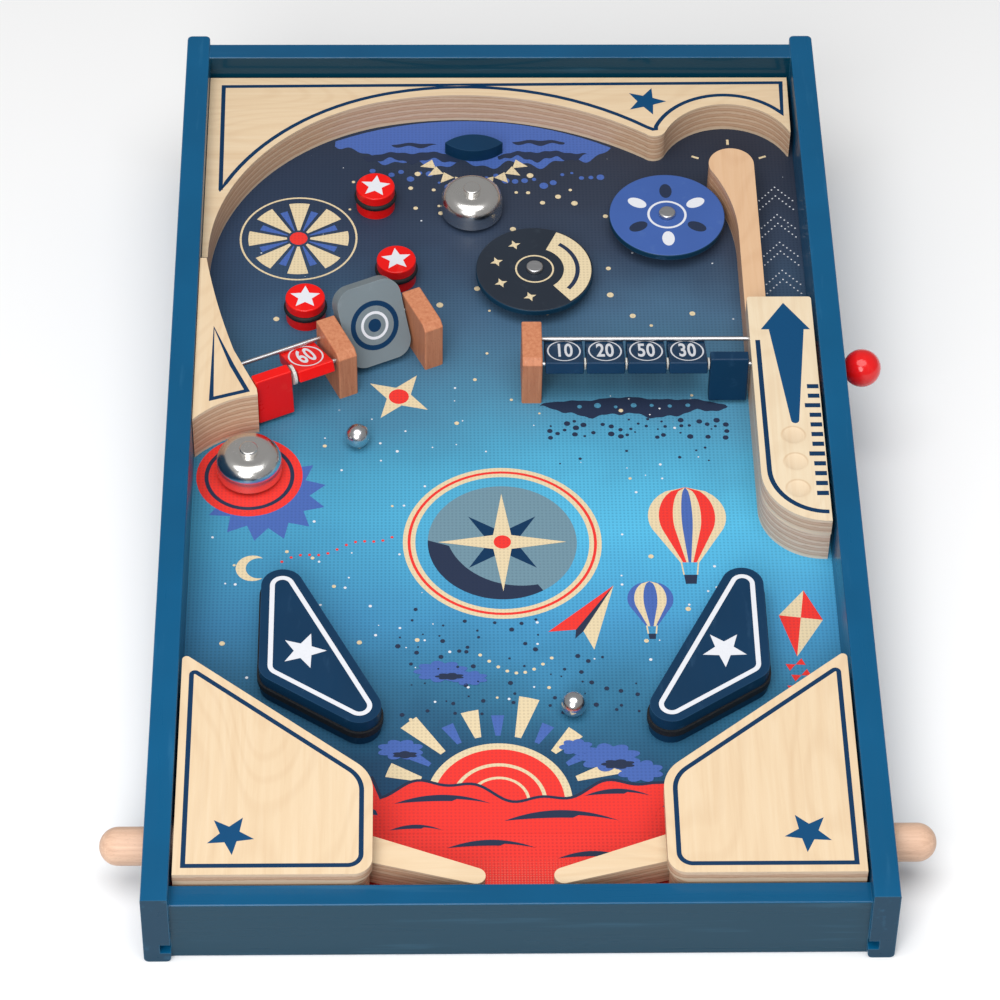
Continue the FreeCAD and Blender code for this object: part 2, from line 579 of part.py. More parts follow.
# ---------------------------------------------------------------- flippers and push dowels
def flipper():
    """Left flipper at rest: boss on the pivot, tail that the dowel pushes, and tapered arm."""
    u, v = FLIPPER_PIVOT_U, FLIPPER_PIVOT_V
    turn = math.radians(FLIPPER_SWING / 2)
    tail = (u - FLIPPER_TAIL_ARM * math.sin(turn), v - FLIPPER_TAIL_ARM * math.cos(turn), FLIPPER_TAIL_RADIUS)
    boss = (u, v, FLIPPER_BOSS_RADIUS)
    root = (u + FLIPPER_ROOT_OUT, v - FLIPPER_ROOT_DROP, FLIPPER_ROOT_RADIUS)
    tip = (-DRAIN_GAP / 2 - FLIPPER_TIP_RADIUS, FRONT_V + FLIPPER_TIP_FRONT_GAP + FLIPPER_TIP_RADIUS,
           FLIPPER_TIP_RADIUS)
    top = FLIPPER_LIFT + FLIPPER_THICKNESS
    parts = [prism(capsule(a, b), FLIPPER_LIFT, top) for a, b in ((boss, tail), (root, tip), (boss, root))]
    return fused(*parts).cut(upright(u, v, PIVOT_PIN_RADIUS + RUNNING_FIT, 0, top + 1))


def flipper_pin(side):
    return upright(side * FLIPPER_PIVOT_U, FLIPPER_PIVOT_V, PIVOT_PIN_RADIUS,
                   -DRILL_DEPTH, SPACER_THICKNESS + COVER_THICKNESS / 2)


def flipper_washer(side):
    u = side * FLIPPER_PIVOT_U
    ring = upright(u, FLIPPER_PIVOT_V, PIVOT_WASHER_RADIUS, 0, FLIPPER_LIFT - SEAT_GAP)
    return ring.cut(upright(u, FLIPPER_PIVOT_V, PIVOT_PIN_RADIUS, -1, FLIPPER_LIFT))


def nose_tip_u():
    return FLIPPER_PIVOT_U - TAIL_REACH - FLIPPER_TAIL_RADIUS - SEAT_GAP


def dowel_travel():
    """Push that leaves the nose just clear of the flipper's flank when the flipper ends its swing."""
    half_swing = math.radians(FLIPPER_SWING / 2)
    lean = half_swing + math.asin((FLIPPER_BOSS_RADIUS - FLIPPER_TAIL_RADIUS) / FLIPPER_TAIL_ARM)
    reach = DOWEL_NOSE_RADIUS + FLIPPER_TAIL_RADIUS + DOWEL_END_GAP
    lift = FLIPPER_TAIL_ARM * (1 - math.cos(half_swing))
    end = TAIL_REACH - (reach - lift * math.sin(lean)) / math.cos(lean)
    start = nose_tip_u() - DOWEL_NOSE_RADIUS - FLIPPER_PIVOT_U
    return end - start


def flange_end_u():
    return DOWEL_FLANGE_GAP + DOWEL_FLANGE_WIDTH - INNER


def push_dowel():
    """Left push dowel at rest: domed outer end, flange behind the rail, slim nose to the flipper."""
    outer = -CASE_WIDTH / 2 - DOWEL_REACH
    flange_start = flange_end_u() - DOWEL_FLANGE_WIDTH
    shaft = across(outer + DOWEL_RADIUS, flange_start, DOWEL_V, DOWEL_W, DOWEL_RADIUS)
    dome = Part.makeSphere(DOWEL_RADIUS, V(outer + DOWEL_RADIUS, DOWEL_V, DOWEL_W))
    flange = across(flange_start, flange_end_u(), DOWEL_V, DOWEL_W, DOWEL_FLANGE_RADIUS)
    nose_end = nose_tip_u() - DOWEL_NOSE_RADIUS
    nose = across(flange_end_u(), nose_end, DOWEL_V, DOWEL_W, DOWEL_NOSE_RADIUS)
    nose_dome = Part.makeSphere(DOWEL_NOSE_RADIUS, V(nose_end, DOWEL_V, DOWEL_W))
    return fused(shaft, dome, flange, nose, nose_dome)


def dowel_spring():
    """Coil spring round the nose, between the flange and the end of its chamber."""
    start = flange_end_u() + SPRING_WIRE_RADIUS + SEAT_GAP
    length = chamber_end() - flange_end_u() - 2 * (SPRING_WIRE_RADIUS + SEAT_GAP)
    helix = Part.makeHelix(length / DOWEL_SPRING_TURNS, length, DOWEL_SPRING_RADIUS)
    section = Part.Wire(Part.makeCircle(SPRING_WIRE_RADIUS, V(DOWEL_SPRING_RADIUS, 0, 0), V(0, 1, 0)))
    coil = Part.Wire(helix.Edges).makePipeShell([section], True, True)
    coil.rotate(V(0, 0, 0), V(0, 1, 0), 90)
    coil.translate(V(start, DOWEL_V, DOWEL_W))
    return coil


# ---------------------------------------------------------------- launcher
def launcher_slider():
    """Wooden slider in the lane's channel, with the elastic's hook peg and the knob pin's hole."""
    left, right = LANE_LEFT_U + SLIDER_SIDE_GAP, INNER - SLIDER_SIDE_GAP
    half = SLIDER_LENGTH / 2
    block = slab((left, LAUNCHER_REST_V - half, SEAT_GAP),
                 (right, LAUNCHER_REST_V + half, SEAT_GAP + SLIDER_HEIGHT))
    block = round_edges(block, EDGE_ROUND, lambda middle, direction: abs(direction.z) > 0.9)
    hook = across(LANE_LEFT_U - ELASTIC_GROOVE_DEPTH + SLIDER_SIDE_GAP, left + 1, ELASTIC_HOOK_V, ELASTIC_W,
                  ELASTIC_PEG_RADIUS)
    seat = across(right - LAUNCHER_PIN_SEAT, right + 1, LAUNCHER_REST_V, LAUNCHER_PIN_W, LAUNCHER_PIN_RADIUS)
    return fused(block, hook).cut(seat)


def knob_centre_u():
    return CASE_WIDTH / 2 + KNOB_GAP + KNOB_RADIUS


def launcher_pin():
    start = INNER - SLIDER_SIDE_GAP - LAUNCHER_PIN_SEAT
    return across(start, knob_centre_u(), LAUNCHER_REST_V, LAUNCHER_PIN_W, LAUNCHER_PIN_RADIUS)


def launcher_knob():
    ball = Part.makeSphere(KNOB_RADIUS, V(knob_centre_u(), LAUNCHER_REST_V, LAUNCHER_PIN_W))
    return ball.cut(across(CASE_WIDTH / 2, knob_centre_u(), LAUNCHER_REST_V, LAUNCHER_PIN_W,
                           LAUNCHER_PIN_RADIUS))


def launcher_elastic():
    """Rubber loop round the anchor peg in the divider and the slider's hook peg."""
    bend = ELASTIC_PEG_RADIUS + ELASTIC_CORD_RADIUS + RUNNING_FIT
    u = LANE_LEFT_U - ELASTIC_GROOVE_DEPTH / 2
    front, back = ELASTIC_HOOK_V, ELASTIC_ANCHOR_V
    low, high = ELASTIC_W - bend, ELASTIC_W + bend
    path = Part.Wire([line(V(u, front, high), V(u, back, high)),
                      arc(V(u, back, high), V(u, back + bend, ELASTIC_W), V(u, back, low)),
                      line(V(u, back, low), V(u, front, low)),
                      arc(V(u, front, low), V(u, front - bend, ELASTIC_W), V(u, front, high))])
    section = Part.Wire(Part.makeCircle(ELASTIC_CORD_RADIUS, V(u, front, high), V(0, 1, 0)))
    return path.makePipeShell([section], True, True)


# ---------------------------------------------------------------- bumpers, slings, bells, spinners
def bumper(u, v):
    body = upright(u, v, BUMPER_RADIUS, 0, BUMPER_HEIGHT)
    groove_top = BAND_GROOVE_BOTTOM + BAND_GROOVE_HEIGHT
    core = upright(u, v, BUMPER_RADIUS - BAND_GROOVE_DEPTH, BAND_GROOVE_BOTTOM, groove_top)
    ring = upright(u, v, BUMPER_RADIUS + 1, BAND_GROOVE_BOTTOM, groove_top).cut(core)
    rim = [edge for edge in body.Edges if edge.CenterOfMass.z > BUMPER_HEIGHT / 2]
    return body.makeFillet(EDGE_ROUND, rim).cut(ring)


def bumper_ring(u, v):
    """Rubber ring seated on the groove's core, a little proud of the bumper."""
    major = BUMPER_RADIUS - BAND_GROOVE_DEPTH + RING_CORD_RADIUS
    return Part.makeTorus(major, RING_CORD_RADIUS, V(u, v, BAND_GROOVE_BOTTOM + BAND_GROOVE_HEIGHT / 2))


def sling_wire(inset):
    """Slingshot outline on the left, drawn back by inset all round."""
    points = [V(*spot(*centre), 0) for centre in SLING_CENTRES]
    return Part.makePolygon(points + points[:1]).makeOffset2D(SLING_ROUND - inset)


def slingshot():
    groove_top = BAND_GROOVE_BOTTOM + BAND_GROOVE_HEIGHT
    body = prism(sling_wire(0), 0, SLING_HEIGHT)
    ring = prism(sling_wire(-1), BAND_GROOVE_BOTTOM, groove_top)
    ring = ring.cut(prism(sling_wire(BAND_GROOVE_DEPTH), BAND_GROOVE_BOTTOM, groove_top))
    return body.cut(ring)


def slingshot_band():
    bottom, top = BAND_GROOVE_BOTTOM, BAND_GROOVE_BOTTOM + BAND_GROOVE_HEIGHT
    band = prism(sling_wire(-BAND_PROUD), bottom + SEAT_GAP, top - SEAT_GAP)
    return band.cut(prism(sling_wire(BAND_GROOVE_DEPTH), bottom, top))


def bell(u, v):
    """Turned bell dome: upright skirt, rounded shoulder and a nearly flat crown."""
    def profile(radius, top):
        shoulder = BELL_SHOULDER * radius / BELL_RADIUS
        bend = V(radius - shoulder * (1 - math.sqrt(0.5)), 0, top - shoulder * (1 - math.sqrt(0.5)))
        start, end = V(radius, 0, top - shoulder), V(radius - shoulder, 0, top)
        wire = Part.Wire([line(V(0, 0, BELL_MOUTH_W), V(radius, 0, BELL_MOUTH_W)),
                          line(V(radius, 0, BELL_MOUTH_W), start), arc(start, bend, end),
                          line(end, V(0, 0, top)), line(V(0, 0, top), V(0, 0, BELL_MOUTH_W))])
        return Part.Face(wire).revolve(V(0, 0, 0), V(0, 0, 1), 360)
    top = BELL_MOUTH_W + BELL_HEIGHT
    dome = profile(BELL_RADIUS, top).cut(profile(BELL_RADIUS - BELL_WALL, top - BELL_WALL))
    dome = dome.cut(upright(0, 0, SCREW_RADIUS + RUNNING_FIT, 0, top + 1))
    dome.translate(V(u, v, 0))
    return dome


def bell_post(u, v):
    post = upright(u, v, BELL_POST_RADIUS, 0, BELL_MOUTH_W + BELL_HEIGHT - BELL_WALL)
    return post.cut(upright(u, v, SCREW_RADIUS, -1, BELL_HEIGHT + BELL_MOUTH_W))


def headed_pin(u, v, seat_w, head_radius, head_height):
    """Pin in the panel with a round-edged head above seat_w."""
    head = upright(u, v, head_radius, seat_w, seat_w + head_height)
    rim = [edge for edge in head.Edges if edge.CenterOfMass.z > seat_w + head_height / 2]
    return fused(head.makeFillet(EDGE_ROUND, rim), upright(u, v, SCREW_RADIUS, -DRILL_DEPTH, seat_w))


def spinner_disc(u, v):
    disc = upright(u, v, DISC_RADIUS, DISC_LIFT, DISC_LIFT + DISC_THICKNESS)
    disc = disc.makeFillet(EDGE_ROUND, [edge for edge in disc.Edges if edge.CenterOfMass.z > DISC_LIFT + 1])
    return disc.cut(upright(u, v, SCREW_RADIUS + RUNNING_FIT, 0, DISC_LIFT + DISC_THICKNESS + 1))


def spinner_bush(u, v):
    bush = upright(u, v, DISC_BUSH_RADIUS, 0, DISC_LIFT - DISC_END_PLAY)
    return bush.cut(upright(u, v, SCREW_RADIUS, -1, DISC_LIFT))


def lens_block():
    """Lens-shaped block at the back of the field, pointed at both ends."""
    u, v = spot(*LENS_PLACE)
    left, right = V(u - LENS_LENGTH / 2, v, 0), V(u + LENS_LENGTH / 2, v, 0)
    back, front = V(u, v + LENS_WIDTH / 2, 0), V(u, v - LENS_WIDTH / 2, 0)
    return prism(Part.Wire([arc(left, back, right), arc(right, front, left)]), 0, LENS_HEIGHT)


# ---------------------------------------------------------------- score bars
def bar_post(start, pivot):
    """Post for both rods, drawn along X from start; pivot is the v of the pivot rod."""
    front, back = pivot - ROD_INSET, pivot - ROD_INSET + POST_DEPTH
    side = [V(start, front, 0), V(start, back, 0), V(start, back, POST_HEIGHT),
            V(start, front + POST_CHAMFER, POST_HEIGHT), V(start, front, POST_HEIGHT - POST_CHAMFER)]
    post = Part.Face(Part.makePolygon(side + side[:1])).extrude(V(POST_WIDTH, 0, 0))
    return round_edges(post, EDGE_ROUND, lambda middle, direction: middle.z > 1)


def pivot_rod(start, end, pivot):
    return across(start, end, pivot, PIVOT_W, ROD_RADIUS)


def stop_rod(start, end, pivot):
    return across(start, end, pivot + ROD_SPACING, STOP_W, ROD_RADIUS)


def tile_swing():
    """Angle from square down to resting under the stop rod, in degrees."""
    reach = TILE_THICKNESS / 2 + ROD_RADIUS + TILE_STOP_GAP
    drop = PIVOT_W - STOP_W
    return 90 - math.degrees(math.asin(reach / math.hypot(ROD_SPACING, drop)) + math.atan2(drop, ROD_SPACING))


def hanging_angle(bar_angle):
    """A free tile hangs plumb, not square to the sloping field."""
    return -math.degrees(math.atan(math.tan(SLOPE) * math.cos(math.radians(bar_angle))))


def score_tile(start, pivot, angle):
    """Tile on the pivot rod, drawn along X; angle 0 is square down, positive swings its foot back."""
    front, top = pivot - TILE_THICKNESS / 2, PIVOT_W + TILE_HOLE_FROM_END
    tile = slab((start, front, top - TILE_LENGTH), (start + TILE_WIDTH, front + TILE_THICKNESS, top))
    tile = tile.makeFillet(EDGE_ROUND, tile.Edges)
    bore = across(start - 1, start + TILE_WIDTH + 1, pivot, PIVOT_W, ROD_RADIUS + RUNNING_FIT)
    tile = tile.cut(bore)
    tile.rotate(V(start, pivot, PIVOT_W), V(1, 0, 0), angle)
    return tile


def washer(middle, pivot, radius, thickness):
    ring = across(middle - thickness / 2, middle + thickness / 2, pivot, PIVOT_W, radius)
    return ring.cut(across(middle - thickness, middle + thickness, pivot, PIVOT_W, ROD_RADIUS))


def right_tile_start(index):
    return RIGHT_BAR_POST_U + POST_WIDTH + RIGHT_TILE_GAP + index * (TILE_WIDTH + RIGHT_TILE_GAP)


def tile_washers():
    """Thin washers on both pivot rods, centred in the gaps beside the tiles."""
    rings = [washer(right_tile_start(index) - RIGHT_TILE_GAP / 2, RIGHT_BAR_PIVOT_V, RIGHT_WASHER_RADIUS,
                    RIGHT_WASHER_THICKNESS) for index in range(1, len(RIGHT_BAR_TILES))]
    left_middle = LEFT_TILE_STARTS[-1] - LEFT_TILE_GAP / 2
    return rings + [on_left_bar(washer(left_middle, 0, LEFT_WASHER_RADIUS, LEFT_WASHER_THICKNESS))]


def right_rods():
    ends = RIGHT_BAR_POST_U + POST_WIDTH - ROD_SEAT, COVER_LEFT_U + ROD_SEAT
    return pivot_rod(*ends, RIGHT_BAR_PIVOT_V), stop_rod(*ends, RIGHT_BAR_PIVOT_V)


def left_rods():
    """Short pivot rod to the outer post, and long stop rod that is also the target's axle."""
    start = -LEFT_BAR_START - ROD_SEAT
    return (on_left_bar(pivot_rod(start, LEFT_POST_OUTER + ROD_SEAT, 0)),
            on_left_bar(stop_rod(start, LEFT_POST_INNER + ROD_SEAT, 0)))


def right_bar_post():
    post = bar_post(RIGHT_BAR_POST_U, RIGHT_BAR_PIVOT_V)
    for rod in right_rods():
        post = post.cut(rod)
    return post


def left_bar_post(start):
    post = on_left_bar(bar_post(start, 0))
    for rod in left_rods():
        post = post.cut(rod)
    return post


def target_lean():
    """Slope of the swing target, in degrees, with its forward end just above the playfield."""
    half = TARGET_THICKNESS / 2
    reach = math.hypot(TARGET_FORWARD, half)
    return math.degrees(math.asin((STOP_W - TARGET_FLOOR_GAP) / reach) - math.atan2(half, TARGET_FORWARD))


def swing_target():
    """Rounded plate that swings on the stop rod between the two left posts."""
    middle = (LEFT_POST_OUTER + POST_WIDTH + LEFT_POST_INNER) / 2
    left, right = middle - TARGET_WIDTH / 2, middle + TARGET_WIDTH / 2
    front, back = ROD_SPACING - TARGET_FORWARD, ROD_SPACING + TARGET_BACKWARD
    outline = rounded_outline([(left, front, TARGET_ROUND), (right, front, TARGET_ROUND),
                               (right, back, TARGET_ROUND), (left, back, TARGET_ROUND)])
    half = TARGET_THICKNESS / 2
    plate = prism(outline, STOP_W - half, STOP_W + half)
    plate = plate.cut(across(left - 1, right + 1, ROD_SPACING, STOP_W, ROD_RADIUS + RUNNING_FIT))
    plate.rotate(V(0, ROD_SPACING, STOP_W), V(1, 0, 0), target_lean())
    return on_left_bar(plate)


def rolling_ball(u, v):
    return Part.makeSphere(BALL_RADIUS, V(u, v, BALL_RADIUS + SEAT_GAP))


# ---------------------------------------------------------------- pieces by name
def case_pieces():
    right_rail = side_rail(1).cut(on_field(launcher_slot()))
    front_y = FRONT_RAIL_INSET - CASE_LENGTH / 2
    return {"side_rail_left": side_rail(-1), "side_rail_right": right_rail,
            "front_rail": end_rail(front_y, FRONT_RAIL_HEIGHT),
            "back_rail": end_rail(BACK_INNER_Y, BACK_RAIL_HEIGHT)}


def mirrored_pairs():
    """Pieces that stand on the left and, mirrored, on the right."""
    pairs = {"corner_cover": corner_cover(), "corner_spacer": corner_spacer(), "flipper": flipper(),
             "push_dowel": push_dowel(), "dowel_spring": dowel_spring(), "slingshot": slingshot()}
    pieces = {}
    for name, shape in pairs.items():
        pieces[name + "_left"] = shape
        pieces[name + "_right"] = mirrored(shape)
    pieces["slingshot_bands"] = Part.makeCompound([slingshot_band(), mirrored(slingshot_band())])
    pieces["flipper_pins"] = Part.makeCompound([flipper_pin(side) for side in (-1, 1)])
    pieces["flipper_washers"] = Part.makeCompound([flipper_washer(side) for side in (-1, 1)])
    return pieces


def field_furniture():
    pieces = {"playfield_panel": playfield_panel(), "top_arch": top_arch(), "left_guide": left_guide(),
              "lane_divider": lane_divider(), "launcher_cover": launcher_cover(), "lens_block": lens_block(),
              "launcher_slider": launcher_slider(), "launcher_pin": launcher_pin(),
              "launcher_knob": launcher_knob(), "launcher_elastic": launcher_elastic(),
              "elastic_anchor": elastic_anchor()}
    bells = {name: spot(*insets) for name, insets in BELL_PLACES.items()}
    bumpers = {name: spot(*insets) for name, insets in BUMPER_PLACES.items()}
    balls = {name: spot(*insets) for name, insets in BALL_PLACES.items()}
    groups = ((bumpers, bumper), (bells, bell), (DISC_PLACES, spinner_disc), (balls, rolling_ball))
    for places, make in groups:
        pieces.update({name: make(*place) for name, place in places.items()})
    nut_w, rivet_w = BELL_MOUTH_W + BELL_HEIGHT, DISC_LIFT + DISC_THICKNESS + DISC_END_PLAY
    sets = {"bumper_rings": [bumper_ring(*place) for place in bumpers.values()],
            "bell_posts": [bell_post(*place) for place in bells.values()],
            "bell_screws": [headed_pin(*place, nut_w, BELL_NUT_RADIUS, BELL_NUT_HEIGHT)
                            for place in bells.values()],
            "spinner_bushes": [spinner_bush(*place) for place in DISC_PLACES.values()],
            "spinner_pins": [headed_pin(*place, rivet_w, DISC_RIVET_RADIUS, DISC_RIVET_HEIGHT)
                             for place in DISC_PLACES.values()]}
    pieces.update({name: Part.makeCompound(solids) for name, solids in sets.items()})
    return pieces


def score_bars():
    pieces = {"right_bar_post": right_bar_post(), "left_bar_post_outer": left_bar_post(LEFT_POST_OUTER),
              "left_bar_post_inner": left_bar_post(LEFT_POST_INNER), "swing_target": swing_target(),
              "tile_washers": Part.makeCompound(tile_washers())}
    pieces["right_pivot_rod"], pieces["right_stop_rod"] = right_rods()
    pieces["left_pivot_rod"], pieces["left_stop_rod"] = left_rods()
    for index, name in enumerate(RIGHT_BAR_TILES):
        angle = hanging_angle(0) if name == "score_tile_end" else tile_swing()
        pieces[name] = score_tile(right_tile_start(index), RIGHT_BAR_PIVOT_V, angle)
    for name, start in zip(LEFT_BAR_TILES, LEFT_TILE_STARTS):
        angle = hanging_angle(LEFT_BAR_ANGLE) if name == "score_tile_red" else tile_swing()
        pieces[name] = on_left_bar(score_tile(start, 0, angle))
    return pieces


def main():
    os.makedirs("parts", exist_ok=True)
    pieces = dict(case_pieces())
    for group in (mirrored_pairs(), field_furniture(), score_bars()):
        for name, shape in group.items():
            pieces[name] = on_field(shape)
    for name, shape in pieces.items():
        shape.exportStep("parts/" + name + ".step")
    print(len(pieces), "pieces; slope", round(math.degrees(SLOPE), 3), "tile swing", round(tile_swing(), 3),
          "dowel travel", round(dowel_travel(), 3))


main()
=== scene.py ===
"""Finishes, printed work, springs, floor, light and camera for the tabletop bagatelle game."""
import json
import math
import random

import bpy
from mathutils import Matrix, Vector


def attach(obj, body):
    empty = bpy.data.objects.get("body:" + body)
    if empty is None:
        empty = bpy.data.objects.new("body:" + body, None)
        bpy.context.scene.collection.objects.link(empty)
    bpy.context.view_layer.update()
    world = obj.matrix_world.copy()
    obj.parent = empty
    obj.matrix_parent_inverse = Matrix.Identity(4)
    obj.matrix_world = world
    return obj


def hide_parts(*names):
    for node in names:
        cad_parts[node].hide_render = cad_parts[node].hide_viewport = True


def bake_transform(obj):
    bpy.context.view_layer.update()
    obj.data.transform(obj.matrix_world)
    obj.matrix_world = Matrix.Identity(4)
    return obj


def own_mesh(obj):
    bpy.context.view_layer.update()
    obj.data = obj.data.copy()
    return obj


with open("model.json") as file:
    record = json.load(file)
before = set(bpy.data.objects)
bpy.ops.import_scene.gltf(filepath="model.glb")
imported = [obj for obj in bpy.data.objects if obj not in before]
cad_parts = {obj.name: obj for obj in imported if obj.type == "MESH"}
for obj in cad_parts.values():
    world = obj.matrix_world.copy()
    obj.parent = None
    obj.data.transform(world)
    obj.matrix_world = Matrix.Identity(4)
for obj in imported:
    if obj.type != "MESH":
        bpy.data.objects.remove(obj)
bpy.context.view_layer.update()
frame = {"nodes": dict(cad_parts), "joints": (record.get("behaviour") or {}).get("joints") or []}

# ---------------- the field and what the frame says
# Lengths are in millimetres unless a name says otherwise. On the field, u runs to the right, v to the back
# and w upwards from the panel's face.
MM = 0.001
CASE_LENGTH = 560.0
RIM_FALL = 54.0
RIM_MIDDLE_HEIGHT = 68.0
RIM_OVER_FIELD = 30.0
SLOPE = math.atan2(RIM_FALL, CASE_LENGTH)
FIELD_UP = Vector((0, -math.sin(SLOPE), math.cos(SLOPE)))
FIELD_MIDDLE = Vector((0, 0, RIM_MIDDLE_HEIGHT)) - RIM_OVER_FIELD * FIELD_UP
FIELD = Matrix.Translation(MM * FIELD_MIDDLE) @ Matrix.Rotation(SLOPE, 4, "X") @ Matrix.Scale(MM, 4)
TO_FIELD = FIELD.inverted()


def reach(node):
    """Lowest and highest corner of a CAD node along the field's axes."""
    places = [TO_FIELD @ vertex.co for vertex in frame["nodes"][node].data.vertices]
    low = Vector([min(place[axis] for place in places) for axis in range(3)])
    high = Vector([max(place[axis] for place in places) for axis in range(3)])
    return low, high


def top(node):
    """Height of a node's upper face over the field."""
    return reach(node)[1].z


def middle(node):
    """Centre of a node seen from above, as (u, v)."""
    low, high = reach(node)
    return (low.x + high.x) / 2, (low.y + high.y) / 2


def hinge(name):
    """Place of a hinge with its x axis along the rod, and the rod's turn on the field."""
    joint = next(row for row in frame["joints"] if row["name"] == name)
    rod = TO_FIELD.to_3x3() @ Vector(joint["axis"])
    turn = math.atan2(rod.y, rod.x)
    pivot = Matrix.Translation(TO_FIELD @ Vector(joint["pos_m"]))
    return FIELD @ pivot @ Matrix.Rotation(turn, 4, "Z"), turn


def at_height(w):
    """The field's axes, raised to a height over the panel."""
    return FIELD @ Matrix.Translation((0, 0, w))


ARCH_TOP = top("top_arch")
GUIDE_TOP = top("left_guide")
COVER_TOP = top("corner_cover_left")
LAUNCHER_TOP = top("launcher_cover")
SLING_TOP = top("slingshot_left")
BUMPER_TOP = top("bumper_back")
DISC_TOP = top("spinner_disc_right")

# ---------------- sizes of finishes and printed work
LIGHT_LEVEL = 1.2
PLY_PITCH = 3.6
DIVIDER_DEEPER_V = 46.0
INK_DOT_PITCH = 1.9
GROUND_DOT_PITCH = 1.3

PRINT_THICKNESS = 0.04
PRINT_STEP = 0.03
BORDER_WIDTH = 2.2
SLING_BORDER_WIDTH = 2.3
LAUNCHER_BORDER_WIDTH = 2.4
BOARD_STAR = 10.8
CORNER_STAR = 11.0
BUMPER_STAR = 7.9

ARCH_CENTRE = (-19.6, 90.0)

TICK_COUNT = 12
LONG_TICKS = (2, 7)
FIRST_TICK_V = 26.2
TICK_PITCH = 6.36
TICK_WIDTH = 2.8
TICK_START_U = 146.5
LONG_TICK_START_U = 144.6
TICK_END_U = 152.2

DIMPLE_U = 137.7
DIMPLE_V = -23.6
DIMPLE_PITCH = 17.3
DIMPLE_ROW_HALF = 1.5 * DIMPLE_PITCH
DIMPLE_REACH = 5.6
DIMPLE_WEAR = 0.26

TILE_NUMBERS = {"10": "10", "20": "20", "50": "50", "30": "30", "end": "40", "60": "60", "red": "70"}
HANGING_TILES = ("end", "red")
TILE_SWING = math.radians(68.544)
TILE_HALF_THICKNESS = 3.2
TILE_FACE_DROP = 8.25
NUMBER_SIZE = 10.5
NUMBER_ACROSS = 0.82
NUMBER_UP = 2.0

TARGET_LEAN = math.radians(60.66)
TARGET_HALF_THICKNESS = 4.0
TARGET_RINGS_DROP = 1.5


def srgb(red, green, blue):
    """Base colour of a finish that reads as these 0-255 values under the studio lamps."""
    def channel(value):
        value /= 255
        linear = value / 12.92 if value <= 0.04045 else ((value + 0.055) / 1.055) ** 2.4
        return linear / LIGHT_LEVEL
    return channel(red), channel(green), channel(blue), 1.0


def tinted(tint):
    """srgb with the same tint added to every colour."""
    def shade(*tone):
        return srgb(*(part + more for part, more in zip(tone, tint)))
    return shade


def scaled(color, factor):
    return tuple(factor * part for part in color[:3]) + (1.0,)


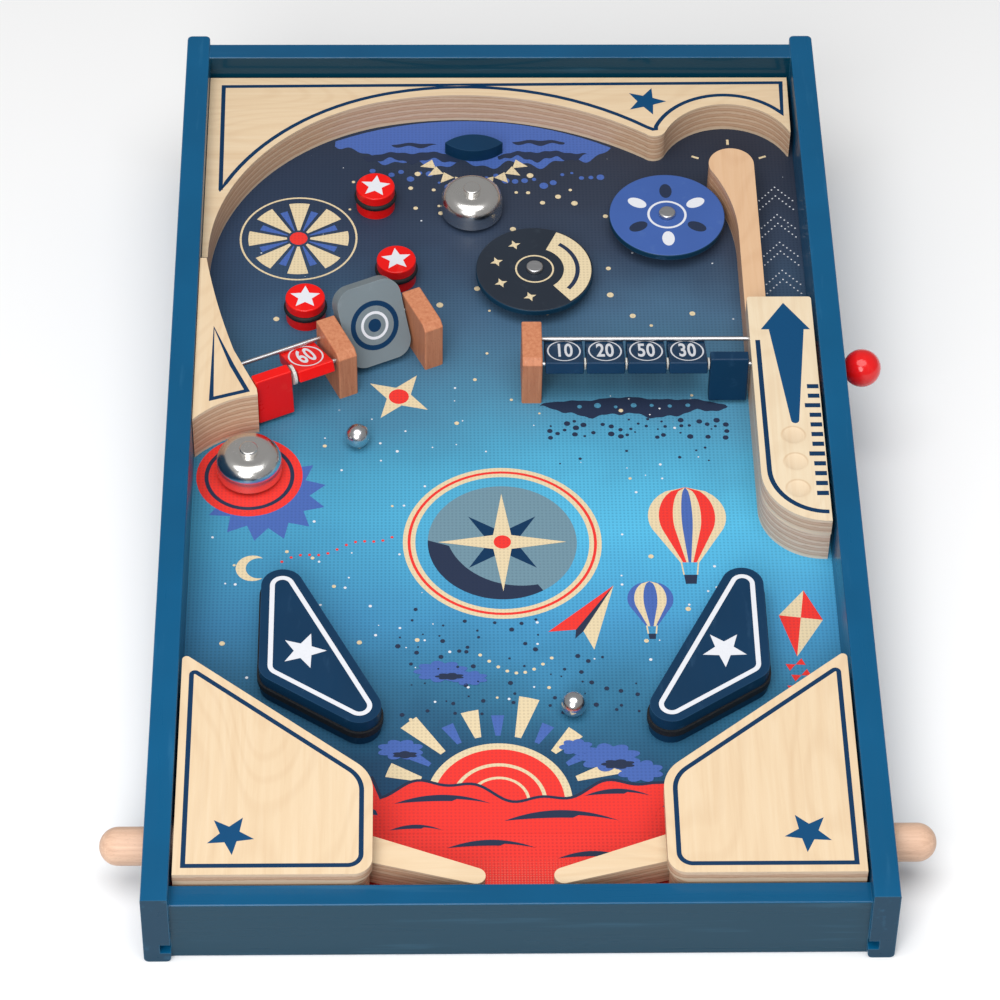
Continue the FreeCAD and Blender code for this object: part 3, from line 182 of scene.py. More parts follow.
# ---------------- finishes
class Finish:
    """One procedural material and the nodes that make it."""

    def __init__(self, name, color, roughness, metallic=0.0, coat=0.0, specular=0.4):
        self.material = bpy.data.materials.new(name)
        self.material.use_nodes = True
        self.material.diffuse_color = color
        self.tree = self.material.node_tree
        self.shader = self.tree.nodes["Principled BSDF"]
        sockets = {"Base Color": color, "Roughness": roughness, "Metallic": metallic, "Coat Weight": coat,
                   "Coat Roughness": 0.08, "Specular IOR Level": specular}
        for key, value in sockets.items():
            self.shader.inputs[key].default_value = value
        points = self.add("ShaderNodeTexCoord")
        self.coords = points.outputs["Object"]
        self.normal = points.outputs["Normal"]

    def add(self, kind, inputs=None, **settings):
        made = self.tree.nodes.new(kind)
        for key, value in settings.items():
            setattr(made, key, value)
        for key, value in (inputs or {}).items():
            if isinstance(value, bpy.types.NodeSocket):
                self.tree.links.new(value, made.inputs[key])
            else:
                made.inputs[key].default_value = value
        return made

    def math(self, operation, *values):
        return self.add("ShaderNodeMath", dict(enumerate(values)), operation=operation).outputs[0]

    def plus(self, first, second):
        return self.math("ADD", first, second)

    def minus(self, first, second):
        return self.math("SUBTRACT", first, second)

    def times(self, first, second):
        return self.math("MULTIPLY", first, second)

    def unsigned(self, value):
        return self.math("ABSOLUTE", value)

    def dot(self, first, second):
        made = self.add("ShaderNodeVectorMath", {0: first, 1: second}, operation="DOT_PRODUCT")
        return made.outputs["Value"]

    def mix(self, factor, first, second, blend="MIX"):
        made = self.add("ShaderNodeMix", {0: factor, 6: first, 7: second}, data_type="RGBA", blend_type=blend)
        return made.outputs[2]

    def mapped(self, vector, scale):
        return self.add("ShaderNodeMapping", {"Vector": vector, "Scale": scale}).outputs[0]

    def field(self):
        """Field coordinates in millimetres."""
        shift = Matrix.Rotation(-SLOPE, 3, "X") @ FIELD.translation
        inputs = {"Vector": self.coords, "Location": -shift / MM, "Rotation": (-SLOPE, 0, 0),
                  "Scale": (1 / MM,) * 3}
        return self.add("ShaderNodeMapping", inputs).outputs[0]

    def split(self, vector):
        return self.add("ShaderNodeSeparateXYZ", {0: vector}).outputs

    def noise(self, vector, scale, detail=3.0, roughness=0.5, distortion=0.0):
        inputs = {"Vector": vector, "Scale": scale, "Detail": detail, "Roughness": roughness,
                  "Distortion": distortion}
        return self.add("ShaderNodeTexNoise", inputs).outputs["Fac"]

    def ramp(self, factor, stops):
        made = self.add("ShaderNodeValToRGB", {0: factor})
        elements = made.color_ramp.elements
        while len(elements) < len(stops):
            elements.new(1.0)
        for element, (place, color) in zip(elements, stops):
            element.position = place
            element.color = color
        return made.outputs[0]

    def between(self, factor, low, high, start=0.0, end=1.0):
        """Factor rescaled from low..high to start..end, clamped."""
        inputs = {0: factor, 1: low, 2: high, 3: start, 4: end}
        return self.add("ShaderNodeMapRange", inputs, clamp=True).outputs[0]

    def bump(self, height, distance):
        inputs = {"Height": height, "Distance": distance, "Strength": 1.0}
        return self.add("ShaderNodeBump", inputs).outputs[0]

    def edges(self, radius, threshold):
        """Mask of sharp edges, 0 on flats and 1 on an edge."""
        softened = self.add("ShaderNodeBevel", {"Radius": radius}, samples=4).outputs[0]
        plain = self.add("ShaderNodeNewGeometry").outputs["Normal"]
        return self.between(self.dot(softened, plain), 1.0, threshold)

    def dot_screen(self, field, pitch):
        """Round dots on a square grid, 1 inside a dot."""
        u, v, _ = self.split(field)
        turn = 2 * math.pi / pitch
        waves = self.plus(self.math("SINE", self.times(u, turn)), self.math("SINE", self.times(v, turn)))
        return self.between(waves, 0.2, 1.1)

    def set(self, **links):
        names = {"color": "Base Color", "roughness": "Roughness", "normal": "Normal"}
        for key, value in links.items():
            self.tree.links.new(value, self.shader.inputs[names[key]])
        return self.material


def painted_wood(name, color, worn, roughness, coat, grain=(1, 1, 1), edge_wear_and_highlight=0.5, depth=0.00006,
                 ends=None, rim=None):
    """Paint over wood: faint brushed grain, mottling and thin paler edges, partly worn paint and partly
    painted highlight; ends is a darker tone for the faces that look forwards or back, painted shade of
    the light, and rim a tone of its own for every upright face."""
    finish = Finish(name, color, roughness, coat=coat, specular=0.18)
    grain_lines = finish.noise(finish.mapped(finish.coords, grain), 160.0, 4.0, 0.6)
    mottle = finish.noise(finish.coords, 22.0, 2.0)
    base = finish.mix(finish.between(mottle, 0.3, 0.7), scaled(color, 0.86), color)
    # Faces that look forwards or back get the darker ends tone: painted shade, not a different paint.
    if ends is not None:
        lengthways = finish.unsigned(finish.split(finish.normal)[1])
        base = finish.mix(finish.between(lengthways, 0.7, 0.95), base, ends)
    if rim is not None:
        upwards = finish.unsigned(finish.split(finish.normal)[2])
        base = finish.mix(finish.between(upwards, 0.85, 0.6), base, rim)
    base = finish.mix(finish.between(grain_lines, 0.60, 0.75, 0.0, 0.18), base, worn)
    # Paler sharp edges: partly worn paint, partly painted highlight along the rounded edges.
    scuff_and_highlight = finish.times(finish.edges(0.0007, 0.90), finish.between(mottle, 0.35, 0.6, 0.25, 1.0))
    base = finish.mix(finish.times(scuff_and_highlight, edge_wear_and_highlight), base, worn)
    rough = finish.between(grain_lines, 0.3, 0.8, roughness, roughness + 0.14)
    return finish.set(color=base, roughness=rough, normal=finish.bump(grain_lines, depth))


def dimple_painted_shade(finish, u, v, color):
    """Painted shade in each finger dimple and round its rim, most of it towards the back."""
    row = finish.math("MODULO", finish.minus(v, DIMPLE_V - DIMPLE_ROW_HALF), DIMPLE_PITCH)
    along = finish.minus(row, DIMPLE_PITCH / 2)
    across = finish.minus(u, DIMPLE_U)
    away = finish.math("SQRT", finish.plus(finish.times(along, along), finish.times(across, across)))
    from_row = finish.unsigned(finish.minus(v, DIMPLE_V))
    in_row = finish.between(from_row, DIMPLE_ROW_HALF, DIMPLE_ROW_HALF - 0.5)
    floor_shade_share = finish.between(away, DIMPLE_REACH + 0.3, DIMPLE_REACH - 0.9, 0.0, 0.5)
    color = finish.mix(finish.times(in_row, floor_shade_share), color, (0.97, 0.91, 0.88, 1.0), "MULTIPLY")
    from_rim = finish.unsigned(finish.minus(away, DIMPLE_REACH + 0.15))
    rim = finish.times(in_row, finish.between(from_rim, 0.8, 0.1))
    rim = finish.times(rim, finish.between(along, -4.5, 1.5, 0.1, 0.6))
    return finish.mix(rim, color, (0.80, 0.68, 0.58, 1.0), "MULTIPLY")


def plywood_face(finish, field, along, shade):
    """Tone of a plywood face, streaked along one axis under a broad figure, and its fine grain."""
    def stretched(lengthways, across, upwards):
        scale = (lengthways, across, upwards) if along == "u" else (across, lengthways, upwards)
        return finish.mapped(field, scale)

    grain = finish.noise(stretched(0.012, 0.30, 0.1), 1.0, 5.0, 0.62, 0.6)
    fine = finish.noise(stretched(0.084, 2.1, 0.7), 1.0, 3.0, 0.7)
    tone = finish.ramp(grain, [(0.25, shade(234, 204, 166)), (0.5, shade(240, 213, 176)),
                               (0.75, shade(244, 220, 186))])
    tone = finish.mix(finish.between(fine, 0.55, 0.8, 0.0, 0.16), tone, shade(212, 176, 134))
    rings = finish.times(finish.noise(stretched(0.006, 0.018, 0.01), 1.0, 1.0), 120.0)
    figure = finish.between(finish.math("SINE", rings), 0.1, 1.0, 0.0, 0.13)
    return finish.mix(figure, tone, shade(208, 168, 126)), fine


def plywood_edge(finish, field, height, low, high, shade):
    """Tone of an edge's wavy layers, paler next to both faces, and the place in a pair of layers."""
    wobble = finish.noise(finish.mapped(field, (0.05, 0.05, 0.25)), 1.0, 3.0, 0.6)
    layers = finish.plus(finish.math("DIVIDE", height, PLY_PITCH), finish.times(wobble, 0.7))
    stripe = finish.math("FRACT", layers)
    tone = finish.ramp(stripe, [(0.0, shade(186, 138, 106)), (0.07, shade(222, 182, 150)),
                                (0.44, shade(230, 191, 158)), (0.50, shade(194, 147, 115)),
                                (0.57, shade(244, 214, 184)), (0.93, shade(235, 202, 168)),
                                (1.0, shade(188, 140, 108))])
    fibre = finish.noise(finish.mapped(field, (0.5, 0.5, 2.5)), 1.0, 4.0, 0.7)
    tone = finish.mix(finish.between(fibre, 0.42, 0.8, 0.0, 0.36), tone, shade(190, 146, 116))
    inside = finish.math("MINIMUM", finish.minus(height, low), finish.minus(high, height))
    return finish.mix(finish.between(inside, 1.3, 0.9, 0.0, 0.8), tone, shade(242, 218, 188)), stripe


def plywood(name, node, along, tint=(0, 0, 0), deeper_from=None, shaded_dimples=False):
    """Clear plywood as thick as its node: long grain on its faces and glued layers on its edges."""
    shade = tinted(tint)
    low, high = reach(node)
    finish = Finish(name, shade(236, 208, 168), 0.46, coat=0.05, specular=0.25)
    field = finish.field()
    u, v, height = finish.split(field)
    face, fine = plywood_face(finish, field, along, shade)
    # Painted shade in the finger dimples: darker floors and a darker rim, most of it towards the back.
    if shaded_dimples:
        face = dimple_painted_shade(finish, u, v, face)
    edge, stripe = plywood_edge(finish, field, height, low.z, high.z, shade)
    flatness = finish.unsigned(finish.dot(finish.normal, FIELD_UP))
    side = finish.between(flatness, 0.75, 0.55)
    color = finish.mix(side, face, edge)
    if deeper_from is not None:
        deeper = finish.between(v, deeper_from - 20.0, deeper_from + 20.0)
        color = finish.mix(deeper, color, (0.92, 0.74, 0.62, 1.0), "MULTIPLY")
    relief = finish.plus(finish.times(fine, 0.6), finish.times(side, stripe))
    return finish.set(color=color, roughness=finish.between(fine, 0.2, 0.8, 0.40, 0.56),
                      normal=finish.bump(relief, 0.00005))


def beech(name, along, tint=(0, 0, 0)):
    """Bare beech with its grain and short flecks along one field axis, given by its number."""
    def stretched(across, lengthways):
        scale = [across, across, across]
        scale[along] = lengthways
        return finish.mapped(field, scale)

    shade = tinted(tint)
    finish = Finish(name, shade(210, 136, 98), 0.5, coat=0.04, specular=0.25)
    field = finish.field()
    grain = finish.noise(stretched(0.55, 0.035), 1.0, 4.0, 0.6, 0.4)
    fleck = finish.noise(stretched(2.6, 0.5), 1.0, 1.0)
    color = finish.ramp(grain, [(0.3, shade(198, 123, 87)), (0.55, shade(214, 140, 102)),
                                (0.8, shade(225, 155, 115))])
    color = finish.mix(finish.between(fleck, 0.62, 0.70, 0.0, 0.32), color, shade(164, 94, 62))
    return finish.set(color=color, roughness=finish.between(grain, 0.2, 0.8, 0.42, 0.58),
                      normal=finish.bump(grain, 0.00006))


def metal(name, color, roughness, scratches, stretch=(1, 1, 1)):
    """Metal with faint smudges and fine scratches."""
    finish = Finish(name, color, roughness, metallic=1.0)
    lines = finish.noise(finish.mapped(finish.coords, stretch), 900.0, 3.0, 0.7)
    smudge = finish.noise(finish.coords, 60.0, 3.0)
    rough = finish.plus(finish.between(smudge, 0.35, 0.75, roughness, roughness + 0.10),
                        finish.between(lines, 0.4, 0.9, 0.0, scratches))
    tone = finish.mix(finish.between(smudge, 0.3, 0.8), color, scaled(color, 0.88))
    return finish.set(color=tone, roughness=rough, normal=finish.bump(lines, 0.000004))


def rubber(name, color, roughness=0.6):
    """Rubber or soft plastic with a fine dusty grain."""
    finish = Finish(name, color, roughness, specular=0.3)
    grain = finish.noise(finish.coords, 1400.0, 2.0)
    lighter = tuple(min(1, 1.6 * part + 0.01) for part in color[:3]) + (1.0,)
    tone = finish.mix(finish.between(grain, 0.4, 0.8), color, lighter)
    rough = finish.between(grain, 0.2, 0.8, roughness - 0.1, roughness + 0.15)
    return finish.set(color=tone, roughness=rough, normal=finish.bump(grain, 0.00002))


def ink(name, color, dot_pitch=None):
    """Printed ink: slightly uneven, with an optional dot screen."""
    finish = Finish(name, color, 0.45, specular=0.2)
    field = finish.field()
    patch = finish.noise(field, 0.9, 3.0, 0.6)
    tone = finish.mix(finish.between(patch, 0.3, 0.8, 0.0, 0.16), color, scaled(color, 0.62))
    if dot_pitch is not None:
        dots = finish.times(finish.dot_screen(field, dot_pitch), 0.16)
        tone = finish.mix(dots, tone, (0.01, 0.02, 0.05, 1))
    return finish.set(color=tone, roughness=finish.between(patch, 0.2, 0.8, 0.39, 0.55))


# The sky's tones from the front of the field to its back, as (v, red, green, blue).
SKY = [(-270, 12, 60, 100), (-186, 38, 80, 112), (-146, 58, 124, 160), (-101, 76, 160, 208),
       (-60, 86, 184, 228), (-38, 91, 194, 236), (-10, 88, 186, 225), (8, 84, 172, 209), (33, 85, 155, 189),
       (76, 80, 124, 154), (100, 77, 112, 142), (124, 66, 90, 116), (150, 60, 74, 96), (182, 54, 63, 81),
       (265, 42, 47, 60)]


def printed_field():
    """Playfield print: night sky that runs to bright and deep blue over red ground, with a dot screen."""
    finish = Finish("playfield_print", srgb(36, 110, 165), 0.42, specular=0.2)
    field = finish.field()
    u, v, _ = finish.split(field)
    front, back = SKY[0][0], SKY[-1][0]
    drift = finish.between(finish.noise(field, 0.014, 3.0, 0.55), 0.25, 0.75, -16.0, 16.0)
    place = finish.between(finish.plus(v, drift), front, back)
    color = finish.ramp(place, [((stop - front) / (back - front), srgb(*tone)) for stop, *tone in SKY])
    color = finish.mix(finish.between(u, 20.0, -150.0, 0.0, 0.45), color, srgb(34, 64, 98))
    waves = finish.between(finish.noise(field, 0.035, 2.0), 0.3, 0.7, -9.0, 9.0)
    shore = finish.plus(v, waves)
    color = finish.mix(finish.between(shore, -214.6, -215.4), color, srgb(250, 62, 54))
    stars = finish.add("ShaderNodeTexVoronoi", {"Vector": field, "Scale": 0.12, "Randomness": 1.0})
    star_sizes = finish.between(finish.split(stars.outputs["Color"])[0], 0.55, 1.0, -0.01, 0.075)
    spot = finish.math("LESS_THAN", stars.outputs["Distance"], star_sizes)
    night = finish.between(v, 10.0, 90.0)
    color = finish.mix(finish.times(spot, night), color, srgb(226, 232, 240))
    screen = finish.times(finish.dot_screen(field, INK_DOT_PITCH), 0.22)
    color = finish.mix(screen, color, srgb(10, 24, 50))
    near = finish.between(v, -236.0, -258.0, 0.0, 0.45)
    ground_screen = finish.times(finish.dot_screen(field, GROUND_DOT_PITCH), near)
    color = finish.mix(ground_screen, color, srgb(255, 176, 150))
    weave = finish.noise(finish.mapped(field, (0.4, 4.0, 1.0)), 1.0, 2.0)
    return finish.set(color=color, roughness=finish.between(weave, 0.2, 0.8, 0.36, 0.5),
                      normal=finish.bump(weave, 0.00002))


# The ends tones of both blue paints are painted shade on the faces that look forwards or back.
rail_paint = painted_wood("rail_blue_gloss", srgb(8, 93, 138), srgb(70, 140, 180), 0.26, 0.2,
                          (1, 0.05, 1), 0.35, ends=srgb(3, 58, 84))
end_rail_paint = painted_wood("end_rail_blue_gloss", srgb(8, 90, 134), srgb(80, 140, 175), 0.24, 0.25,
                              (0.05, 1, 1), ends=srgb(3, 60, 82))
navy_paint = painted_wood("navy_satin", srgb(12, 56, 90), srgb(70, 112, 148), 0.36, 0.1, (1, 0.2, 1), 0.3)
red_paint = painted_wood("red_gloss", srgb(255, 22, 18), srgb(255, 100, 84), 0.26, 0.2, (1, 0.3, 1), 0.25)
knob_paint = painted_wood("knob_red_gloss", srgb(244, 26, 28), srgb(250, 90, 80), 0.14, 0.6, (1, 1, 1), 0.1,
                          0.00002)
grey_paint = painted_wood("target_grey_satin", srgb(130, 142, 148), srgb(170, 186, 192), 0.40, 0.05,
                          (1, 0.4, 0.4), 0.3)
disc_rim = srgb(14, 58, 84)
disc_blue = painted_wood("disc_blue_print", srgb(70, 104, 178), srgb(104, 136, 186), 0.42, 0.05, edge_wear_and_highlight=0.3,
                         rim=disc_rim)
disc_dark = painted_wood("disc_dark_print", srgb(42, 50, 62), srgb(76, 88, 100), 0.42, 0.05, edge_wear_and_highlight=0.3,
                         rim=disc_rim)
ply_arch = plywood("plywood_arch", "top_arch", "u")
ply_divider = plywood("plywood_divider", "lane_divider", "v", (4, 8, 14), deeper_from=DIVIDER_DEEPER_V)
ply_guide = plywood("plywood_guide", "left_guide", "v")
ply_launcher = plywood("plywood_launcher", "launcher_cover", "v", (4, 10, 14), shaded_dimples=True)
ply_cover = plywood("plywood_cover", "corner_cover_left", "v")
ply_spacer = plywood("plywood_spacer", "corner_spacer_left", "v")
ply_flipper = plywood("plywood_flipper", "flipper_left", "u")
post_beech = beech("beech_upright", 2)
dowel_beech = beech("beech_dowel", 0, (18, 52, 62))
bell_chrome = metal("bell_chrome", (0.88, 0.86, 0.83, 1), 0.18, 0.08)
ball_steel = metal("ball_steel", (0.70, 0.71, 0.73, 1), 0.19, 0.03)
rod_steel = metal("rod_steel", (0.58, 0.58, 0.59, 1), 0.32, 0.12, (0.1, 1, 1))
band_rubber = rubber("band_rubber", srgb(22, 24, 28))
elastic_rubber = rubber("elastic_cord", srgb(214, 196, 160))
washer_plastic = rubber("washer_plastic", srgb(206, 204, 198), 0.4)
field_print = printed_field()
inks = {
    "navy": ink("ink_navy", srgb(8, 54, 92)),
    "blue": ink("ink_blue", srgb(8, 76, 122)),
    "white": ink("ink_white", srgb(238, 240, 246)),
    "cream": ink("ink_cream", srgb(240, 220, 180), INK_DOT_PITCH),
    "dark": ink("ink_dark", srgb(42, 54, 80), INK_DOT_PITCH),
    "peri": ink("ink_periwinkle", srgb(78, 110, 186), INK_DOT_PITCH),
    "grey": ink("ink_grey_blue", srgb(118, 152, 168), INK_DOT_PITCH),
    "red": ink("ink_red", srgb(250, 60, 52), INK_DOT_PITCH),
}

node_finishes = {
    rail_paint: ["side_rail_left", "side_rail_right"],
    end_rail_paint: ["front_rail", "back_rail"],
    field_print: ["playfield_panel"],
    ply_arch: ["top_arch"],
    ply_divider: ["lane_divider"],
    ply_guide: ["left_guide"],
    ply_launcher: ["launcher_cover"],
    ply_cover: ["corner_cover_left", "corner_cover_right"],
    ply_spacer: ["corner_spacer_left", "corner_spacer_right"],
    ply_flipper: ["flipper_left", "flipper_right"],
    navy_paint: ["slingshot_left", "slingshot_right", "lens_block", "score_tile_10", "score_tile_20",
                 "score_tile_50", "score_tile_30", "score_tile_end"],
    red_paint: ["bumper_back", "bumper_middle", "bumper_front", "score_tile_60", "score_tile_red"],
    knob_paint: ["launcher_knob"],
    grey_paint: ["swing_target"],
    disc_blue: ["spinner_disc_right"],
    disc_dark: ["spinner_disc_centre"],
    post_beech: ["right_bar_post", "left_bar_post_outer", "left_bar_post_inner", "launcher_slider"],
    dowel_beech: ["push_dowel_left", "push_dowel_right"],
    bell_chrome: ["bell_back", "bell_front", "bell_screws"],
    ball_steel: ["ball_upper", "ball_lower"],
    rod_steel: ["right_pivot_rod", "right_stop_rod", "left_pivot_rod", "left_stop_rod", "launcher_pin",
                "flipper_pins", "bell_posts", "spinner_pins", "dowel_spring_left", "dowel_spring_right",
                "elastic_anchor"],
    band_rubber: ["slingshot_bands", "bumper_rings", "spinner_bushes"],
    elastic_rubber: ["launcher_elastic"],
    washer_plastic: ["tile_washers", "flipper_washers"],
}
for material, nodes in node_finishes.items():
    for node in nodes:
        for slot in frame["nodes"][node].material_slots:
            slot.material = material


# ---------------- outlines, as lists of (u, v) points
def polar(centre, distance, degrees):
    """Point at a distance and an angle from a centre."""
    angle = math.radians(degrees)
    return centre[0] + distance * math.cos(angle), centre[1] + distance * math.sin(angle)


def arc_points(centre, radius, start, end, step=3.0):
    count = max(2, int(abs(end - start) / step) + 1)
    return [polar(centre, radius, start + (end - start) * index / (count - 1)) for index in range(count)]


def ring_points(u, v, radius, steps=40, stretch=1.0, degrees=0.0):
    """Circle, or an oval whose second axis is stretched, turned by an angle."""
    oval = []
    for index in range(steps):
        angle = 2 * math.pi * index / steps
        oval.append((radius * math.cos(angle), stretch * radius * math.sin(angle)))
    return turned(oval, (u, v), degrees)


def star_points(u, v, radius, degrees, tips=5, waist=0.42):
    reaches = [radius, radius * waist] * tips
    return [polar((u, v), distance, degrees + 180 * index / tips) for index, distance in enumerate(reaches)]


def box_points(left, front, right, back):
    return [(left, front), (right, front), (right, back), (left, back)]


def turned(points, place, degrees):
    """Points given about a place, turned by an angle."""
    cosine, sine = math.cos(math.radians(degrees)), math.sin(math.radians(degrees))
    return [(place[0] + x * cosine - y * sine, place[1] + x * sine + y * cosine) for x, y in points]


def mirrored(points):
    return [(-u, v) for u, v in reversed(points)]


# The corner covers and slingshots are drawn on the left and mirrored to the right.
SIDES = {"left": list, "right": mirrored}


def rounded(corners):
    """Closed loop through (u, v, radius) corners."""
    points = []
    for index, (u, v, radius) in enumerate(corners):
        here = Vector((u, v))
        if radius == 0:
            points.append(tuple(here))
            continue
        before = (Vector(corners[index - 1][:2]) - here).normalized()
        after = (Vector(corners[(index + 1) % len(corners)][:2]) - here).normalized()
        half = before.angle(after) / 2
        centre = here + (before + after).normalized() * radius / math.sin(half)
        first = here + before * radius / math.tan(half) - centre
        last = here + after * radius / math.tan(half) - centre
        start = math.degrees(math.atan2(first.y, first.x))
        sweep = (math.degrees(math.atan2(last.y, last.x)) - start + 180) % 360 - 180
        points += arc_points(centre, radius, start, start + sweep, 6.0)
    return points


def hull_points(centres, radius):
    """Loop round equal circles at counter-clockwise centres."""
    points = []
    for index, centre in enumerate(centres):
        before = Vector(centre) - Vector(centres[index - 1])
        after = Vector(centres[(index + 1) % len(centres)]) - Vector(centre)
        start = math.degrees(math.atan2(before.y, before.x)) - 90
        sweep = (math.degrees(math.atan2(after.y, after.x)) - 90 - start) % 360
        points += arc_points(centre, radius, start, start + sweep, 6.0)
    return points


def stroke(points, width, closed=True):
    """Loops on both sides of a centre line; an open line gives one loop."""
    left_side, right_side = [], []
    for index, point in enumerate(points):
        here = Vector(point)
        runs = []
        if closed or index > 0:
            runs.append((here - Vector(points[index - 1])).normalized())
        if closed or index < len(points) - 1:
            runs.append((Vector(points[(index + 1) % len(points)]) - here).normalized())
        normals = [Vector((-run.y, run.x)) for run in runs]
        mitre = normals[0]
        if len(normals) == 2:
            mitre = (normals[0] + normals[1]) / max(0.35, 1 + normals[0].dot(normals[1]))
        left_side.append(tuple(here + mitre * width / 2))
        right_side.append(tuple(here - mitre * width / 2))
    return [left_side, right_side] if closed else [left_side + right_side[::-1]]


def wedge(centre, inner, outer, degrees, spread):
    """Ray that widens outwards, round at its outer end."""
    tip = arc_points(centre, inner, degrees - spread * 0.25, degrees + spread * 0.25, spread)
    return tip + arc_points(centre, outer, degrees + spread * 0.5, degrees - spread * 0.5, 4.0)


def cloud_points(u, v, radius, lobes, squeeze):
    """Scalloped closed loop, squeezed from front to back."""
    points = []
    for index in range(12 * lobes):
        angle = 2 * math.pi * index / (12 * lobes)
        distance = radius * (0.76 + 0.24 * abs(math.sin(lobes * angle / 2)))
        points.append((u + distance * math.cos(angle), v + squeeze * distance * math.sin(angle)))
    return points


def sway(u, swells):
    """Height of a wavy line at u; each swell is (height, length, shift)."""
    return sum(height * math.sin(2 * math.pi * (u - shift) / length) for height, length, shift in swells)


def drift_band(start, end, v, thickness, swells, count=80):
    """Band across the field with wavy sides and pointed ends."""
    back_side, front_side = [], []
    for index in range(count + 1):
        share = index / count
        u = start + (end - start) * share
        half = thickness / 2 * max(0.0, math.sin(math.pi * share)) ** 0.5
        back_side.append((u, v + 0.4 * sway(u, swells) + half))
        front_side.append((u, v + sway(u, swells) - half))
    return back_side + front_side[-2:0:-1]


def gore(centre, radius, first, last, steps=18):
    """Upright stripe of a balloon between two shares of its half width."""
    def half_width(height):
        """Half of the balloon's width at a height over its centre: a circle that runs out in a cone."""
        cone_start = -0.42 * radius
        if height > cone_start:
            return math.sqrt(max(0.0, radius ** 2 - height ** 2))
        widest = math.sqrt(radius ** 2 - cone_start ** 2)
        return widest + (0.24 * radius - widest) * (cone_start - height) / (1.12 * radius)

    heights = [radius * (1 - 2.54 * index / steps) for index in range(1, steps + 1)]
    left = [(centre[0] + first * half_width(height), centre[1] + height) for height in heights]
    right = [(centre[0] + last * half_width(height), centre[1] + height) for height in reversed(heights)]
    return [(centre[0], centre[1] + radius)] + left + right


chance = random.Random(11)


def scatter(low, high, spacing, smallest, largest, share, away=()):
    """Dots on some places of a loose grid, clear of each other and of the (u, v, radius) circles in away."""
    dots = []
    for column in range(int((high[0] - low[0]) / spacing)):
        for row in range(int((high[1] - low[1]) / spacing)):
            radius = chance.uniform(smallest, largest)
            play = spacing / 2 - radius - 0.1
            u = low[0] + spacing * (column + 0.5) + chance.uniform(-play, play)
            v = low[1] + spacing * (row + 0.5 * (column % 2) + 0.5) + chance.uniform(-play, play)
            if chance.random() < share and all(math.dist((u, v), (a, b)) > clear for a, b, clear in away):
                dots.append(ring_points(u, v, radius, 12))
    return dots


# ---------------- how a print is made
def only(piece):
    """Select a piece alone and make it active."""
    bpy.ops.object.select_all(action="DESELECT")
    piece.select_set(True)
    bpy.context.view_layer.objects.active = piece


def settle(piece, name, place, body, color):
    """Turn a print into a mesh at its place, inked, and let it ride its body."""
    only(piece)
    bpy.ops.object.convert(target="MESH")
    piece = bpy.context.view_layer.objects.active
    piece.name = piece.data.name = name
    piece.data.transform(place)
    piece.matrix_world = Matrix.Identity(4)
    piece.data.materials.clear()
    piece.data.materials.append(inks[color])
    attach(piece, body)


def flat_print(name, loops, place, body, color, layer=0):
    """Thin ink layer from closed loops; a loop inside another is a hole."""
    bpy.ops.object.select_all(action="DESELECT")
    bpy.ops.object.add(type="CURVE")
    made = bpy.context.object
    curve = made.data
    curve.dimensions = "2D"
    curve.fill_mode = "BOTH"
    curve.extrude = PRINT_THICKNESS / 2
    for loop in loops:
        spline = curve.splines.new("POLY")
        spline.points.add(len(loop) - 1)
        for point, (u, v) in zip(spline.points, loop):
            point.co = (u, v, 0, 1)
        spline.use_cyclic_u = True
    settle(made, name, place @ Matrix.Translation((0, 0, PRINT_STEP * layer)), body, color)


def board_print(name, color, loops, w, body="case", layer=0):
    """Print on a level face at a height over the panel."""
    flat_print(name, loops, at_height(w), body, color, layer)


def number_print(name, text, place, body):
    """White number, narrow and tall on its tile."""
    bpy.ops.object.select_all(action="DESELECT")
    bpy.ops.object.text_add()
    made = bpy.context.object
    number = made.data
    number.body = text
    number.size = NUMBER_SIZE
    number.align_x = "CENTER"
    number.align_y = "CENTER"
    number.extrude = PRINT_THICKNESS / 2
    number.offset = 0.022 * NUMBER_SIZE
    number.space_character = 1.06
    settle(made, name, place @ Matrix.Diagonal((NUMBER_ACROSS, NUMBER_UP, 1.0, 1.0)), body, "white")


# ---------------- prints on the boards and play pieces
def arch_prints():
    """Border and star on the arch round the back of the field."""
    line = [(-147.0, 254.3), (-146.2, 175.6)]
    line += arc_points((-28.8, 124.9), 127.7, 157, 104.7)
    line += arc_points(ARCH_CENTRE, 163.8, 103.5, 54.0)
    line += [(79.6, 220.9), (81.3, 221.2)]
    line += arc_points((118.0, 207.5), 39.8, 157, 40)
    line += [(149.3, 257.0)]
    board_print("arch_border", "navy", stroke(line, BORDER_WIDTH), ARCH_TOP)
    board_print("arch_star", "blue", [star_points(76.9, 242.5, BOARD_STAR, 72)], ARCH_TOP)


def guide_print():
    """Border on the left guide."""
    line = [(-145.4, 19.3), (-128.1, 24.8), (-136.0, 42.0), (-145.6, 67.7)]
    board_print("guide_border", "navy", stroke(line, BORDER_WIDTH), GUIDE_TOP)


def launcher_prints():
    """Border, arrow and pull scale on the launcher cover."""
    line = [(124.2, 57.7)] + arc_points((151.6, -28.6), 27.0, 180, 270, 6.0)
    board_print("launcher_border", "navy", stroke(line, LAUNCHER_BORDER_WIDTH, closed=False), LAUNCHER_TOP)
    arrow = [(138.5, 83.4), (150.8, 65.0), (147.6, 65.0)]
    arrow += arc_points((139.2, 3.6), 2.0, 0, -180, 30.0)
    arrow += [(130.2, 65.0), (126.2, 65.0)]
    board_print("launcher_arrow", "blue", [arrow], LAUNCHER_TOP)
    ticks = []
    for index in range(TICK_COUNT):
        start = LONG_TICK_START_U if index in LONG_TICKS else TICK_START_U
        v = FIRST_TICK_V - TICK_PITCH * index
        ticks.append(box_points(start, v - TICK_WIDTH / 2, TICK_END_U, v + TICK_WIDTH / 2))
    board_print("launcher_scale", "navy", ticks, LAUNCHER_TOP)


